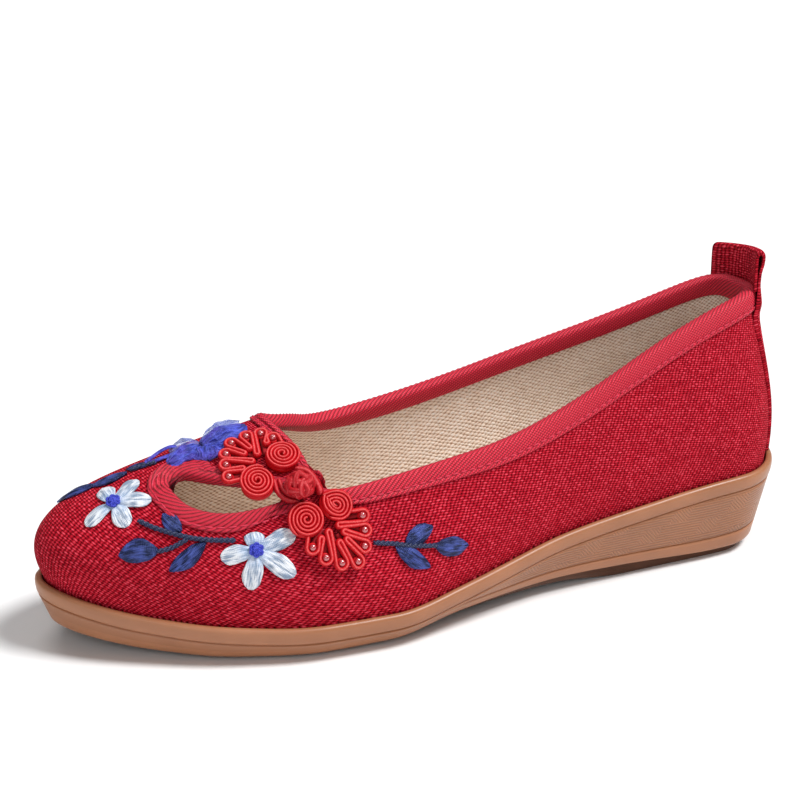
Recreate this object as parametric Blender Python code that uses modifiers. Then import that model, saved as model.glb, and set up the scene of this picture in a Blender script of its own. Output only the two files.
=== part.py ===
# Embroidered cloth slip-on shoe, left foot: canvas upper with an instep strap, folded bindings, heel loop,
# knotted cord ornament, ribbon flowers, and a moulded wedge sole.
# Metres, +Z up, toe toward -X, outer side toward -Y. Tables are in millimetres, x from the toe to the heel.
import bpy
import numpy as np

MM = 0.001
ORIGIN = (119.0, -2.2)      # plan place of the part's origin in the tables

# Driving sizes
TOE_X = -3.0                # toe end of the feather line, where canvas meets sole
HEEL_X = 241.0              # heel end of the feather line
TOE_Y = 3.0                 # toe point leans to the inner side
WALL = 2.0                  # canvas with its lining
GAP = 0.3                   # between neighbouring pieces
FOOT = 2.6                  # canvas tucked down behind the sole's lip
STATIONS = 66               # round the shoe

# Plan of the feather line: place along the length, outer half width, inner half width
PLAN = np.array([
    (-3.0, 0.0, 0.0),
    (8.0, 16.2, 16.6),
    (24.0, 25.9, 25.6),
    (48.0, 36.6, 33.2),
    (72.0, 42.0, 36.2),
    (91.0, 42.3, 35.5),
    (120.0, 36.6, 31.0),
    (156.0, 29.2, 27.6),
    (192.0, 26.8, 26.8),
    (221.0, 24.6, 24.6),
    (241.0, 0.0, 0.0),
])

# Side view of the sole: place, rim top, bottom edge, tread face, height of the lower band
SIDE = np.array([
    (-8.0, 22.2, 7.6, 6.2, 4.0),
    (20.0, 15.6, 3.0, 1.6, 3.0),
    (40.0, 13.0, 1.3, 0.0, 2.6),
    (66.0, 11.6, 1.0, 0.0, 2.4),
    (92.0, 11.8, 1.4, 0.0, 3.2),
    (114.0, 14.6, 4.0, 2.0, 4.2),
    (130.0, 17.6, 5.0, 2.6, 3.4),
    (156.0, 22.5, 5.3, 2.2, 3.7),
    (180.0, 25.8, 4.7, 0.0, 4.2),
    (215.0, 29.3, 3.1, 0.0, 5.2),
    (246.0, 30.2, 3.2, 0.0, 6.6),
])
RIM, EDGE, TREAD, BAND = 1, 2, 3, 4

# Collar edge met by each meridian of the canvas, and the shape of that meridian:
# side, place on the feather line, collar x, y, z, rise and lean at the foot, reach and drop at the collar
COLLAR = [
    ("heel", 241.0, 232.0, 0.0, 87.6, 22.0, 2.5, 3.0, 24.0),
    ("outer", 224.0, 225.0, -13.5, 86.9, 22.0, 3.0, 3.5, 24.0),
    ("outer", 192.0, 196.0, -20.0, 78.8, 18.0, 4.0, 2.5, 18.0),
    ("outer", 158.0, 160.0, -26.0, 64.3, 14.0, 4.0, 2.5, 13.0),
    ("outer", 128.0, 130.0, -30.2, 56.0, 12.0, 3.5, 3.0, 12.0),
    ("outer", 106.0, 104.0, -31.5, 52.5, 12.0, 3.0, 4.0, 11.0),
    ("outer", 92.0, 82.0, -30.3, 49.9, 13.0, 3.0, 7.0, 10.0),
    ("outer", 72.0, 74.5, -23.5, 52.6, 14.0, 3.0, 12.0, 8.0),
    ("outer", 34.0, 71.0, -10.0, 59.4, 18.0, 5.0, 36.0, 9.5),
    ("toe", -3.0, 67.5, 3.0, 62.6, 20.0, 9.0, 62.0, 14.5),
    ("inner", 34.0, 74.0, 7.5, 59.8, 17.5, 5.0, 34.0, 12.0),
    ("inner", 72.0, 83.5, 15.5, 55.8, 14.0, 3.0, 13.0, 8.0),
    ("inner", 92.0, 91.5, 21.8, 53.2, 13.0, 3.0, 8.0, 10.0),
    ("inner", 106.0, 103.0, 26.2, 52.6, 12.0, 3.0, 5.0, 11.0),
    ("inner", 128.0, 128.0, 28.0, 56.0, 12.0, 3.5, 3.0, 12.0),
    ("inner", 158.0, 159.0, 26.0, 63.9, 14.0, 4.0, 2.5, 13.0),
    ("inner", 192.0, 196.0, 19.8, 75.4, 18.0, 4.0, 2.5, 18.0),
    ("inner", 224.0, 224.0, 13.5, 85.4, 22.0, 3.0, 3.5, 24.0),
]

# Width of the collar tape's legs: turn round the shoe (0 heel, 1 toe, 2 heel), width
TAPE = np.array([(0.0, 7.0), (0.45, 7.0), (0.58, 5.4), (0.66, 4.6), (0.85, 4.8), (1.0, 5.0),
                 (1.2, 5.4), (1.42, 6.2), (1.6, 6.6)])

# Teardrop cut-out, in the plane that touches the canvas at CUTOUT_AT: along, across, width of the tape's leg
CUTOUT_AT = (0.7454, 0.697)
CUTOUT = np.array([
    (-15.6, 9.3, 6.4),
    (-14.1, 5.1, 6.8),
    (-10.4, 0.5, 7.0),
    (-5.1, -2.7, 7.0),
    (1.7, -4.6, 6.8),
    (8.5, -5.2, 6.0),
    (14.0, -4.9, 4.6),
    (16.6, -4.1, 3.6),
    (13.5, -2.0, 3.8),
    (5.8, 1.4, 4.6),
    (-2.4, 5.0, 5.6),
    (-7.8, 8.3, 6.0),
    (-12.6, 10.6, 6.0),
])

# Knotted cord ornament halves: place of each centre, then lobes (along, across, radius)
FROG_STRAP_AT = (0.7276, 0.866)
FROG_STRAP = [(5.2, 3.5, 5.6), (-5.0, -4.1, 5.6), (-12.5, 0.1, 2.0), (-12.1, 4.9, 2.0), (-10.8, 9.0, 2.0),
              (-7.9, 13.0, 2.0), (-3.1, 14.1, 2.0), (1.5, 13.7, 2.0), (4.3, 10.4, 2.0)]
FROG_SIDE_AT = (0.6223, 0.678)
FROG_SIDE = [(-6.1, 1.1, 5.6), (3.8, 4.6, 5.4), (10.7, -0.5, 2.0), (10.7, -4.8, 2.0), (9.6, -9.5, 2.0),
             (7.0, -13.6, 2.0), (2.1, -13.1, 2.0), (-2.4, -10.9, 2.0), (-6.1, -7.2, 2.0)]
FROG_BASE = 1.4             # clears the tapes below
FROG_TOP = 3.3
KNOT_AT = (0.6647, 0.822)
KNOT = (5.2, 4.8, 3.4)      # half sizes along, across, up

# Ribbon flowers: petals as direction in degrees, length, half width
FLOWER_TOE_AT = (0.8989, 0.576)
FLOWER_TOE = [(113, 7.0, 2.6), (38, 10.0, 2.6), (-16, 10.0, 2.5), (-78, 8.0, 2.6), (-156, 9.5, 2.3)]
FLOWER_SIDE_AT = (0.6967, 0.454)
FLOWER_SIDE = [(88, 5.5, 2.6), (12, 10.5, 3.0), (-42, 11.5, 3.0), (-102, 12.0, 2.8), (-168, 9.0, 2.6)]
FLOWER_BLUE_AT = (0.9450, 0.870)
FLOWER_BLUE = [(25, 11.5, 4.0), (80, 8.0, 4.5), (135, 9.0, 4.5), (187, 12.5, 3.4), (235, 6.0, 3.0), (310, 4.6, 3.0)]

# Leaf sprigs: anchor, then strokes of (start along, across, end along, across, sideways bow, half width at
# the start, half width of the leaf, share of the stroke that is stalk)
SPRIGS = {
    "sprig_front": ((0.7684, 0.485), [
        (-11.5, 7.2, 11.5, -3.0, -1.4, 0.6, 0.6, 1.0),
        (2.0, 0.2, -19.0, -1.4, 1.4, 0.6, 3.0, 0.52),
        (3.6, -0.4, -4.4, -10.0, 0.0, 0.5, 2.6, 0.12),
        (-2.4, 2.0, -5.0, 6.0, 0.0, 0.8, 1.9, 0.0),
    ]),
    "sprig_rear": ((0.5453, 0.454), [
        (-12.5, 3.2, 16.6, -2.6, 0.0, 0.5, 2.6, 0.60),
        (-3.4, 0.9, 4.4, 5.6, 0.0, 0.5, 2.7, 0.0),
        (-6.4, 1.8, 2.6, -7.2, 0.0, 0.5, 2.4, 0.0),
    ]),
    "sprig_toe": ((0.9791, 0.674), [
        (11.0, -1.4, 1.6, 0.2, 0.0, 0.5, 1.8, 0.3),
        (2.6, 0.0, -8.4, 2.4, 0.0, 0.5, 2.2, 0.0),
        (-7.2, 2.2, -18.0, 10.0, 0.0, 0.5, 2.2, 0.1),
    ]),
}
RELIEF = 1.0                # height of ribbon and cord over the canvas

# Heel loop
TAB_HALF = 13.5
TAB_THICK = 1.3
TAB_ABOVE = 10.4            # top of the loop over the collar edge


# Curves through table rows
def shaped(xs, ys, q):
    """Cubic through the rows that keeps flats flat."""
    h = np.diff(xs)
    d = np.diff(ys) / h
    m = np.zeros(len(xs))
    m[0], m[-1] = d[0], d[-1]
    for i in range(1, len(xs) - 1):
        if d[i - 1] * d[i] > 0:
            w1 = 2 * h[i] + h[i - 1]
            w2 = h[i] + 2 * h[i - 1]
            m[i] = (w1 + w2) / (w1 / d[i - 1] + w2 / d[i])
    k = np.clip(np.searchsorted(xs, q, side="right") - 1, 0, len(xs) - 2)
    t = (q - xs[k]) / h[k]
    return ((1 + 2 * t) * (1 - t) ** 2 * ys[k] + t * (1 - t) ** 2 * h[k] * m[k]
            + t * t * (3 - 2 * t) * ys[k + 1] + t * t * (t - 1) * h[k] * m[k + 1])


def looped(xs, ys, period, q):
    """Smooth closed cubic through the rows."""
    n = len(xs)
    h = np.diff(np.append(xs, xs[0] + period))
    col = [-1] + [1] * (ys.ndim - 1)
    d = (np.roll(ys, -1, 0) - ys) / h.reshape(col)
    a = np.zeros((n, n))
    for i in range(n):
        a[i, i - 1] += h[i - 1]
        a[i, i] += 2 * (h[i - 1] + h[i])
        a[i, (i + 1) % n] += h[i]
    m = np.linalg.solve(a, 6 * (d - np.roll(d, 1, 0)))
    q = (q - xs[0]) % period + xs[0]
    k = np.clip(np.searchsorted(xs, q, side="right") - 1, 0, n - 1)
    k1 = (k + 1) % n
    t = (q - xs[k]).reshape(col)
    hk = h[k].reshape(col)
    return (ys[k] + t * (d[k] - hk * (2 * m[k] + m[k1]) / 6) + t ** 2 * m[k] / 2
            + t ** 3 * (m[k1] - m[k]) / (6 * hk))


# Canvas surface: s runs round the shoe from 0 at the heel by the outer side to 1 at the toe and back to 2,
# t runs from 0 at the feather line to 1 at the collar edge
def angle(x):
    u = (np.asarray(x, float) - TOE_X) / (HEEL_X - TOE_X)
    return np.arccos(1 - 2 * np.clip(u, 0, 1))


def feather(s):
    s = np.asarray(s, float) % 2
    phi = np.pi * np.abs(1 - s)
    place = angle(PLAN[:, 0])
    u = (1 - np.cos(phi)) / 2
    half = np.where(s <= 1, -shaped(place, PLAN[:, 1], phi), shaped(place, PLAN[:, 2], phi))
    return np.stack([TOE_X + u * (HEEL_X - TOE_X), half + TOE_Y * (1 - u) ** 3], -1)


def feather_out(s):
    d = feather(s + 1e-3) - feather(s - 1e-3)
    d = d / np.linalg.norm(d, axis=-1, keepdims=True)
    return np.stack([-d[..., 1], d[..., 0]], -1)


def side(x, column):
    return shaped(SIDE[:, 0], SIDE[:, column], np.clip(x, SIDE[0, 0], SIDE[-1, 0]))


def turn_of(where, x):
    if where == "heel":
        return 0.0
    share = float(angle(x)) / np.pi
    return 1 + share if where == "inner" else 1 - share


ROW_TURN = np.array([turn_of(row[0], row[1]) for row in COLLAR])
ROW_SHAPE = np.array([row[2:] for row in COLLAR])


def canvas(s, t):
    s, t = np.broadcast_arrays(np.asarray(s, float), np.asarray(t, float))
    flat = s.ravel()
    c = looped(ROW_TURN, ROW_SHAPE, 2.0, flat)
    f = feather(flat)
    foot = np.c_[f, side(f[:, 0], RIM)]
    low = foot + np.c_[feather_out(flat) * c[:, 4:5], c[:, 3:4]]
    top = c[:, 0:3]
    out = f - top[:, :2]
    out = out / np.linalg.norm(out, axis=1, keepdims=True)
    high = top + np.c_[out * c[:, 5:6], -c[:, 6:7]]
    w = t.ravel()[:, None]
    p = (1 - w) ** 3 * foot + 3 * (1 - w) ** 2 * w * low + 3 * (1 - w) * w * w * high + w ** 3 * top
    return p.reshape(*s.shape, 3)


def canvas_out(s, t, d=1e-3):
    along = canvas(s + d, t) - canvas(s - d, t)
    up = canvas(s, t + d) - canvas(s, t - d)
    n = np.cross(up, along)
    return n / np.linalg.norm(n, axis=-1, keepdims=True)


def below_collar(s, distance):
    """t at a distance down the canvas from the collar edge."""
    ts = np.linspace(1, 0, 121)
    out = np.empty(len(s))
    for i, (a, b) in enumerate(zip(s, np.broadcast_to(distance, len(s)))):
        p = canvas(np.full(121, a), ts)
        run = np.append(0, np.cumsum(np.linalg.norm(np.diff(p, axis=0), axis=1)))
        out[i] = np.interp(b, run, ts)
    return out


def touch(at):
    """Point, normal and two axes of the plane that touches the canvas at a place."""
    s, t = np.array(at[0]), np.array(at[1])
    p = canvas(s, t)
    n = canvas_out(s, t)
    e1 = np.array([1.0, 0.0, 0.0]) - n * n[0]
    e1 = e1 / np.linalg.norm(e1)
    return p, n, e1, np.cross(n, e1)


def drape(at, ab, h):
    """Points of a touching plane laid on the canvas, then lifted by h."""
    p0, n0, e1, e2 = touch(at)
    a, b = ab[:, 0], ab[:, 1]
    s = np.full(len(ab), float(at[0]))
    t = np.full(len(ab), float(at[1]))
    for _ in range(24):
        p = canvas(s, t) - p0
        ps = (canvas(s + 1e-3, t) - canvas(s - 1e-3, t)) / 2e-3
        pt = (canvas(s, t + 1e-3) - canvas(s, t - 1e-3)) / 2e-3
        ra, rb = a - p @ e1, b - p @ e2
        m11, m12, m21, m22 = ps @ e1, pt @ e1, ps @ e2, pt @ e2
        det = m11 * m22 - m12 * m21
        s = s + np.clip((ra * m22 - rb * m12) / det, -0.04, 0.04)
        t = np.clip(t + np.clip((rb * m11 - ra * m21) / det, -0.12, 0.12), 0.0, 1.08)
    return canvas(s, t) + canvas_out(s, t) * np.broadcast_to(h, len(ab))[:, None]


# Objects
def collection(name):
    group = bpy.data.collections.new(name)
    bpy.context.scene.collection.children.link(group)
    return group


def material(name, colour, roughness):
    m = bpy.data.materials.new(name)
    m.use_nodes = True
    shader = m.node_tree.nodes["Principled BSDF"]
    shader.inputs["Base Color"].default_value = (*colour, 1.0)
    shader.inputs["Roughness"].default_value = roughness
    return m


def mesh_object(name, points, faces, mat=None, tool=False):
    mesh = bpy.data.meshes.new(name)
    p = (np.asarray(points, float).reshape(-1, 3) - (*ORIGIN, 0.0)) * MM
    mesh.from_pydata([tuple(v) for v in p], [], faces)
    mesh.validate()
    obj = bpy.data.objects.new(name, mesh)
    (CUTTERS if tool else SHOE).objects.link(obj)
    if tool:
        obj.hide_render = True
        obj.display_type = "WIRE"
    else:
        mesh.materials.append(mat)
    return obj


def tube_faces(rows, columns, wrap_rows=False):
    """Quads between rows of points that each close on themselves."""
    faces = []
    for i in range(rows if wrap_rows else rows - 1):
        for j in range(columns):
            a, b = i * columns, (i + 1) % rows * columns
            k = (j + 1) % columns
            faces.append((a + j, a + k, b + k, b + j))
    return faces


def fold_cap(start, count, flip):
    """Strips across a ring that runs heel, outer side, toe, inner side."""
    faces = []
    for k in range(count // 2):
        loop = [start + k, start + k + 1, start + (count - k - 1) % count, start + (count - k) % count]
        loop = [v for i, v in enumerate(loop) if v not in loop[:i]]
        faces.append(tuple(loop[::-1] if flip else loop))
    return faces


def boolean(obj, tool, operation):
    m = obj.modifiers.new(operation.lower(), "BOOLEAN")
    m.operation = operation
    m.solver = "EXACT"
    m.object = tool


for old in list(bpy.data.objects):
    bpy.data.objects.remove(old, do_unlink=True)
SHOE = collection("cloth_shoe")
CUTTERS = collection("cutters")

RED = material("canvas_red", (0.42, 0.008, 0.030), 0.85)
TWILL = material("twill_red", (0.50, 0.014, 0.045), 0.6)
SATIN = material("cord_red", (0.60, 0.012, 0.020), 0.45)
GUM = material("gum_rubber", (0.48, 0.24, 0.12), 0.55)
BEIGE = material("linen_beige", (0.62, 0.48, 0.32), 0.9)
WHITE = material("ribbon_white", (0.70, 0.80, 0.90), 0.5)
BLUE = material("chiffon_blue", (0.05, 0.07, 0.55), 0.6)
NAVY = material("ribbon_navy", (0.012, 0.020, 0.10), 0.5)

TURNS = np.linspace(0, 2, STATIONS, endpoint=False)


# Sole: rings from the platform over the lip and down the wall to the tread
def build_sole():
    out = feather_out(TURNS)
    fore = np.clip(-out[:, 0], 0, 1) ** 2
    aft = np.clip(out[:, 0], 0, 1) ** 2
    inset = 4.9 + 1.1 * aft - 0.7 * fore        # bottom edge inside the rim
    lip = 2.6
    x = feather(TURNS)[:, 0]
    rim, edge, tread, band = (side(x, c) for c in (RIM, EDGE, TREAD, BAND))
    low = edge + band                           # lower groove
    wall_top = rim - 5.6
    deep = 0.5 * np.clip((x - 104.0) / 14.0, 0, 1)

    def wall(z):
        return 1.8 + (lip - inset - 1.8) * np.clip((wall_top - z) / (wall_top - edge), 0, 1)

    ledge = lip - inset - 3.2
    rings = [
        (0.4, rim - 3.0), (0.4, rim - 0.35), (1.3, rim), (lip, rim - 1.1), (2.1, rim - 4.7), (1.3, rim - 5.1),
        (1.8, wall_top), (wall(low + 0.4), low + 0.4), (wall(low) - deep, low), (wall(low - 0.4), low - 0.4),
        (wall(edge + 1.0), edge + 1.0), (lip - inset - 0.6, edge), (ledge, edge + 0.2),
        (ledge - 0.1, np.minimum(tread + 0.3, edge)), (ledge - 0.6, tread),
    ]
    points = [np.c_[feather(TURNS) + out * np.reshape(o * np.ones(STATIONS), (-1, 1)), z] for o, z in rings]
    faces = tube_faces(len(rings), STATIONS)
    faces += fold_cap(0, STATIONS, True)
    faces += fold_cap((len(rings) - 1) * STATIONS, STATIONS, False)
    return mesh_object("outsole", points, faces, GUM)


# Canvas: open surface given its wall, then the cut-out
def build_upper():
    edge = below_collar(TURNS, 1.0 + GAP + 0.3)
    shares = np.array([0.0, 0.10, 0.21, 0.32, 0.43, 0.54, 0.65, 0.77, 0.89, 1.0])
    foot = canvas(TURNS, np.zeros(STATIONS)) - (0, 0, FOOT)
    points = [foot] + [canvas(TURNS, edge * share) for share in shares]
    faces = [f[::-1] for f in tube_faces(len(points), STATIONS)]
    obj = mesh_object("upper", points, faces, RED)
    wall = obj.modifiers.new("wall", "SOLIDIFY")
    wall.thickness = WALL * MM
    wall.offset = -1.0
    ab = cutout_loop(40)
    ring = ab + cutout_away(ab) * (1.0 + GAP + 0.5)
    cutter = mesh_object("cutout_tool", [drape(CUTOUT_AT, ring, -5.0), drape(CUTOUT_AT, ring, 4.0)],
                         tube_faces(2, 40) + [tuple(range(39, -1, -1)), tuple(range(40, 80))], tool=True)
    boolean(obj, cutter, "DIFFERENCE")
    return obj


def cutout_loop(count, columns=slice(0, 2)):
    turn = np.append(0, np.cumsum(np.linalg.norm(np.diff(np.r_[CUTOUT, CUTOUT[:1]][:, :2], axis=0), axis=1)))
    return looped(turn[:-1], CUTOUT[:, columns], turn[-1], np.linspace(0, turn[-1], count, endpoint=False))


def cutout_away(ab):
    d = np.roll(ab, -1, 0) - np.roll(ab, 1, 0)
    d = d / np.linalg.norm(d, axis=1, keepdims=True)
    return np.c_[d[:, 1], -d[:, 0]]


# Folded tape over an edge: distance from the fold, height over the canvas
def tape_section(leg, under):
    skin = 0.8
    inner = -WALL - under
    return [(leg, GAP), (1.0 + GAP, GAP), (1.0 + GAP, inner), (leg - 0.5, inner), (leg - 0.5, inner - skin),
            (0.7, inner - skin), (0.0, -2.0), (0.0, -0.2), (0.7, GAP + skin), (leg, GAP + skin)]


def build_collar_tape():
    leg = looped(TAPE[:, 0], TAPE[:, 1], 2.0, TURNS)
    columns = []
    for d, h in tape_section(leg, 0.5):
        t = below_collar(TURNS, d)
        columns.append(canvas(TURNS, t) + canvas_out(TURNS, np.minimum(t, 0.998)) * h)
    points = np.stack(columns, 1)
    faces = [f[::-1] for f in tube_faces(STATIONS, len(columns), True)]
    return mesh_object("binding_collar", points, faces, TWILL)


def build_cutout_tape():
    count = 40
    ab = cutout_loop(count)
    leg = cutout_loop(count, slice(2, 3))[:, 0]
    away = cutout_away(ab)
    columns = [drape(CUTOUT_AT, ab + away * np.reshape(d * np.ones(count), (-1, 1)), h)
               for d, h in tape_section(leg, 0.9)]
    points = np.stack(columns, 1)
    return mesh_object("binding_cutout", points, tube_faces(count, len(columns), True), TWILL)


def build_insole():
    out = feather_out(TURNS)
    ring = feather(TURNS) - out * (WALL + 0.5)
    z = side(ring[:, 0], RIM)
    points = [np.c_[ring, z - 2.7], np.c_[ring, z + 0.2], np.c_[ring - out * 0.6, z + 0.6]]
    faces = [f[::-1] for f in tube_faces(3, STATIONS)]
    faces += fold_cap(0, STATIONS, False) + fold_cap(2 * STATIONS, STATIONS, True)
    return mesh_object("insole", points, faces, BEIGE)


# Heel loop: a strip up the back seam, over a loop and down behind the collar tape.
# Path of the strip's middle: distance below the collar edge (negative above it), height over the canvas
def build_tab():
    collar = GAP + 0.8 + 0.5 + TAB_THICK / 2
    outer = collar + TAB_THICK + 1.4
    top = -TAB_ABOVE + 1.6
    path = [(6.0, collar), (0.0, collar), (top * 0.6, collar), (top, collar + 0.1), (top - 0.9, collar + 0.5),
            (top - 1.2, (collar + outer) / 2), (top - 0.9, outer - 0.5), (top, outer - 0.1), (top * 0.6, outer),
            (0.0, outer), (6.0, outer - 0.9), (11.0, 1.7), (17.0, 1.1), (27.0, 1.1), (37.0, 1.1), (47.0, 1.1), (57.6, 1.1)]
    path = np.array(path)
    step = np.gradient(path, axis=0)
    step = step / np.linalg.norm(step, axis=1, keepdims=True)
    normal = np.c_[step[:, 1], -step[:, 0]]
    wide = np.linspace(-1, 1, 10)
    rows = []
    for half in (1, -1):
        for d, h in path + normal * half * TAB_THICK / 2:
            rows.append(tab_row(d, h, wide))
    count = len(path)
    points = np.stack(rows, 1)
    faces = []
    for j in range(len(wide) - 1):
        a, b = j * 2 * count, (j + 1) * 2 * count
        loop = list(range(count)) + list(range(2 * count - 1, count - 1, -1))
        for i in range(2 * count):
            k = (i + 1) % (2 * count)
            faces.append((a + loop[i], b + loop[i], b + loop[k], a + loop[k]))
    last = (len(wide) - 1) * 2 * count
    for i in range(count - 1):
        faces.append((i, i + 1, count + i + 1, count + i))
        faces.append((last + i + 1, last + i, last + count + i, last + count + i + 1))
    return mesh_object("pull_tab", points, faces, RED)


def tab_row(d, h, wide):
    """One line across the strip, heel curve below the collar and flatter above it."""
    around = np.linspace(-0.3, 0.3, 61)
    t = np.minimum(below_collar(around, max(d, 0.0)), 0.998)
    y = (canvas(around, t) + canvas_out(around, t) * h)[:, 1]
    s = np.interp(wide * TAB_HALF, y[::-1], around[::-1])
    if d > 0:
        t = below_collar(s, d)
        return canvas(s, t) + canvas_out(s, np.minimum(t, 0.998)) * h
    edge = canvas(s, np.full(len(s), 0.998))
    out = canvas_out(s, np.full(len(s), 0.997))
    flat = min(1.0, -d / 9.0)
    p = edge + out * h
    p[:, 0] += (231.0 + h - p[:, 0]) * 0.6 * flat
    p[:, 1] += (TAB_HALF * wide - p[:, 1]) * flat
    p[:, 2] = edge[:, 2] - d + out[:, 2] * h * (1 - flat)
    return p


# Raised ornament laid on the canvas, from an outline given as reach in each direction
def plate(name, at, reach, count, base, top, dome, mat, middle=(0.0, 0.0), tool=False):
    turn = np.linspace(0, 2 * np.pi, count, endpoint=False)
    r = reach(turn)
    spread = np.c_[np.cos(turn), np.sin(turn)] * r[:, None]
    heart = np.array([middle])
    levels = [(0.55, base), (1.0, base), (1.0, base + 0.6 * (top - base)), (0.8, top), (0.4, top + dome)]
    points = [drape(at, heart, base)]
    points += [drape(at, heart + spread * share, h) for share, h in levels]
    points.append(drape(at, heart, top + dome))
    p = np.concatenate(points)
    faces = [tuple(1 + v for v in f) for f in tube_faces(len(levels), count)]
    end = 1 + (len(levels) - 1) * count
    for k in range(count):
        j = (k + 1) % count
        faces.append((0, 1 + j, 1 + k))
        faces.append((len(p) - 1, end + k, end + j))
    return mesh_object(name, p, faces, mat, tool)


def lobes_reach(lobes):
    """Outline of round lobes and the stalks that join them to the middle."""
    def reach(turn):
        d = np.c_[np.cos(turn), np.sin(turn)]
        best = np.full(len(turn), 1.5)
        for a, b, r in lobes:
            along = d @ (a, b)
            miss = np.abs(d @ (-b, a))
            inside = np.maximum(r * r - miss ** 2, 0)
            best = np.where((along > 0) & (miss < r), np.maximum(best, along + np.sqrt(inside)), best)
        return best
    return reach


def petals_reach(petals, heart):
    """Outline of petals round a heart."""
    def reach(turn):
        best = np.full(len(turn), heart)
        for degrees, length, half in petals:
            off = (turn - np.radians(degrees) + np.pi) % (2 * np.pi) - np.pi
            spread = 1.35 * half / (0.62 * length)
            best = np.maximum(best, heart + (length - heart) * np.sqrt(np.clip(1 - (off / spread) ** 2, 0, 1)))
        return best
    return reach


def build_knot():
    p0, n0, e1, e2 = touch(KNOT_AT)
    middle = p0 + n0 * (FROG_BASE + 0.2 + KNOT[2])
    points, rows, columns = [], 7, 14
    turn = np.linspace(0, 2 * np.pi, columns, endpoint=False)
    points.append((middle - n0 * KNOT[2])[None])
    for i in range(1, rows):
        tilt = np.pi * i / rows
        ring = np.sin(tilt) * (np.outer(np.cos(turn), e1) * KNOT[0] + np.outer(np.sin(turn), e2) * KNOT[1])
        points.append(middle + ring - n0 * KNOT[2] * np.cos(tilt))
    points.append((middle + n0 * KNOT[2])[None])
    p = np.concatenate(points)
    faces = [tuple(1 + v for v in f) for f in tube_faces(rows - 1, columns)]
    end = 1 + (rows - 2) * columns
    for k in range(columns):
        j = (k + 1) % columns
        faces.append((0, 1 + j, 1 + k))
        faces.append((len(p) - 1, end + k, end + j))
    return mesh_object("frog_knot", p, faces, SATIN)


# Stalk and leaf as one stroke: half width grows from the stalk into a leaf with a round end
def stroke(name, at, row, mat, tool):
    a0, b0, a1, b1, bow, thin, leaf, stalk = row
    start, way = np.array([a0, b0]), np.array([a1 - a0, b1 - b0])
    across = np.array([-way[1], way[0]]) / np.linalg.norm(way)
    shares = np.linspace(0, 1, 7)
    u = np.clip((shares - stalk) / max(1 - stalk, 1e-6), 0, 1)
    half = thin + (leaf - thin) * np.sin(np.pi * np.clip(u, 0, 0.93)) ** 0.8
    half[-1] = max(thin * 0.7, 0.35 * leaf)
    middle = start + shares[:, None] * way + across * (bow * 4 * shares * (1 - shares))[:, None]
    rows = []
    for lift, squeeze in ((GAP, 1.0), (GAP + 0.6 * RELIEF, 1.0), (GAP + RELIEF, 0.45)):
        for sign in (-1, 1):
            rows.append(drape(at, middle + across * (sign * squeeze * half)[:, None], lift))
    order = [0, 2, 4, 5, 3, 1]
    points = np.stack([rows[k] for k in order], 1)
    count = len(shares)
    faces = [f[::-1] for f in tube_faces(count, 6)]
    last = (count - 1) * 6
    for k in (0, 1):
        a, b, c, d = ((0, 1, 4, 5), (1, 2, 3, 4))[k]
        faces.append((a, b, c, d))
        faces.append((last + d, last + c, last + b, last + a))
    return mesh_object(name, points, faces, mat, tool)


def build_sprig(name):
    at, rows = SPRIGS[name]
    obj = stroke(name, at, rows[0], NAVY, False)
    for i, row in enumerate(rows[1:]):
        boolean(obj, stroke(name + "_leaf_%d" % (i + 1), at, row, None, True), "UNION")
    return obj


build_sole()
build_upper()
build_insole()
build_collar_tape()
build_cutout_tape()
build_tab()
plate("frog_strap_half", FROG_STRAP_AT, lobes_reach(FROG_STRAP), 48, FROG_BASE, FROG_TOP - 0.3, 0.3, SATIN)
plate("frog_side_half", FROG_SIDE_AT, lobes_reach(FROG_SIDE), 48, FROG_BASE, FROG_TOP - 0.3, 0.3, SATIN)
build_knot()
plate("flower_toe", FLOWER_TOE_AT, petals_reach(FLOWER_TOE, 2.2), 34, GAP, GAP + RELIEF, 0.8, WHITE)
plate("flower_side", FLOWER_SIDE_AT, petals_reach(FLOWER_SIDE, 2.2), 34, GAP, GAP + RELIEF, 0.8, WHITE)
plate("flower_blue", FLOWER_BLUE_AT, petals_reach(FLOWER_BLUE, 4.0), 34, GAP, GAP + 2.2, 2.0, BLUE)
for sprig in SPRIGS:
    build_sprig(sprig)
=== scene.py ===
# Looks for the embroidered cloth shoe: canvas, twill tapes, moulded sole, knotted cord and ribbon flowers
import bmesh
import bpy
import numpy as np
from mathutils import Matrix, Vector


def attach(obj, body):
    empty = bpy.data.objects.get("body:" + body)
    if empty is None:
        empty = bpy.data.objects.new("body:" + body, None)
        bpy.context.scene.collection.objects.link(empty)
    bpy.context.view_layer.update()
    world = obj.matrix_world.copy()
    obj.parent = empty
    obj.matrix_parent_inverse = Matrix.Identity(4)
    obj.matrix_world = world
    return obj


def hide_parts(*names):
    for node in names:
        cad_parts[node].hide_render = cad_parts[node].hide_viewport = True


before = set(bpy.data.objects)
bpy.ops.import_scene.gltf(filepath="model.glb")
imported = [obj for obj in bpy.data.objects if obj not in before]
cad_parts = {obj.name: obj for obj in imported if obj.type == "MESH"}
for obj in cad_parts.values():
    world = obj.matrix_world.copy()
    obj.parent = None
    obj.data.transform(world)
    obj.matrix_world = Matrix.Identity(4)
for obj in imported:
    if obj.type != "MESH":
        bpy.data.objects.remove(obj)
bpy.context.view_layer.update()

MM = 0.001
TAU = 2 * np.pi
STEP = 1e-3                 # small step for slopes on the canvas
ORIGIN = (119.0, -2.2)      # plan place of the frame's origin in the tables, in millimetres

# The solids' own sizes and tables
TOE_X = -3.0
HEEL_X = 241.0
TOE_Y = 3.0
WALL = 2.0
GAP = 0.3
FOOT = 2.6                  # the canvas runs this far down inside the sole's lip

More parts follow.
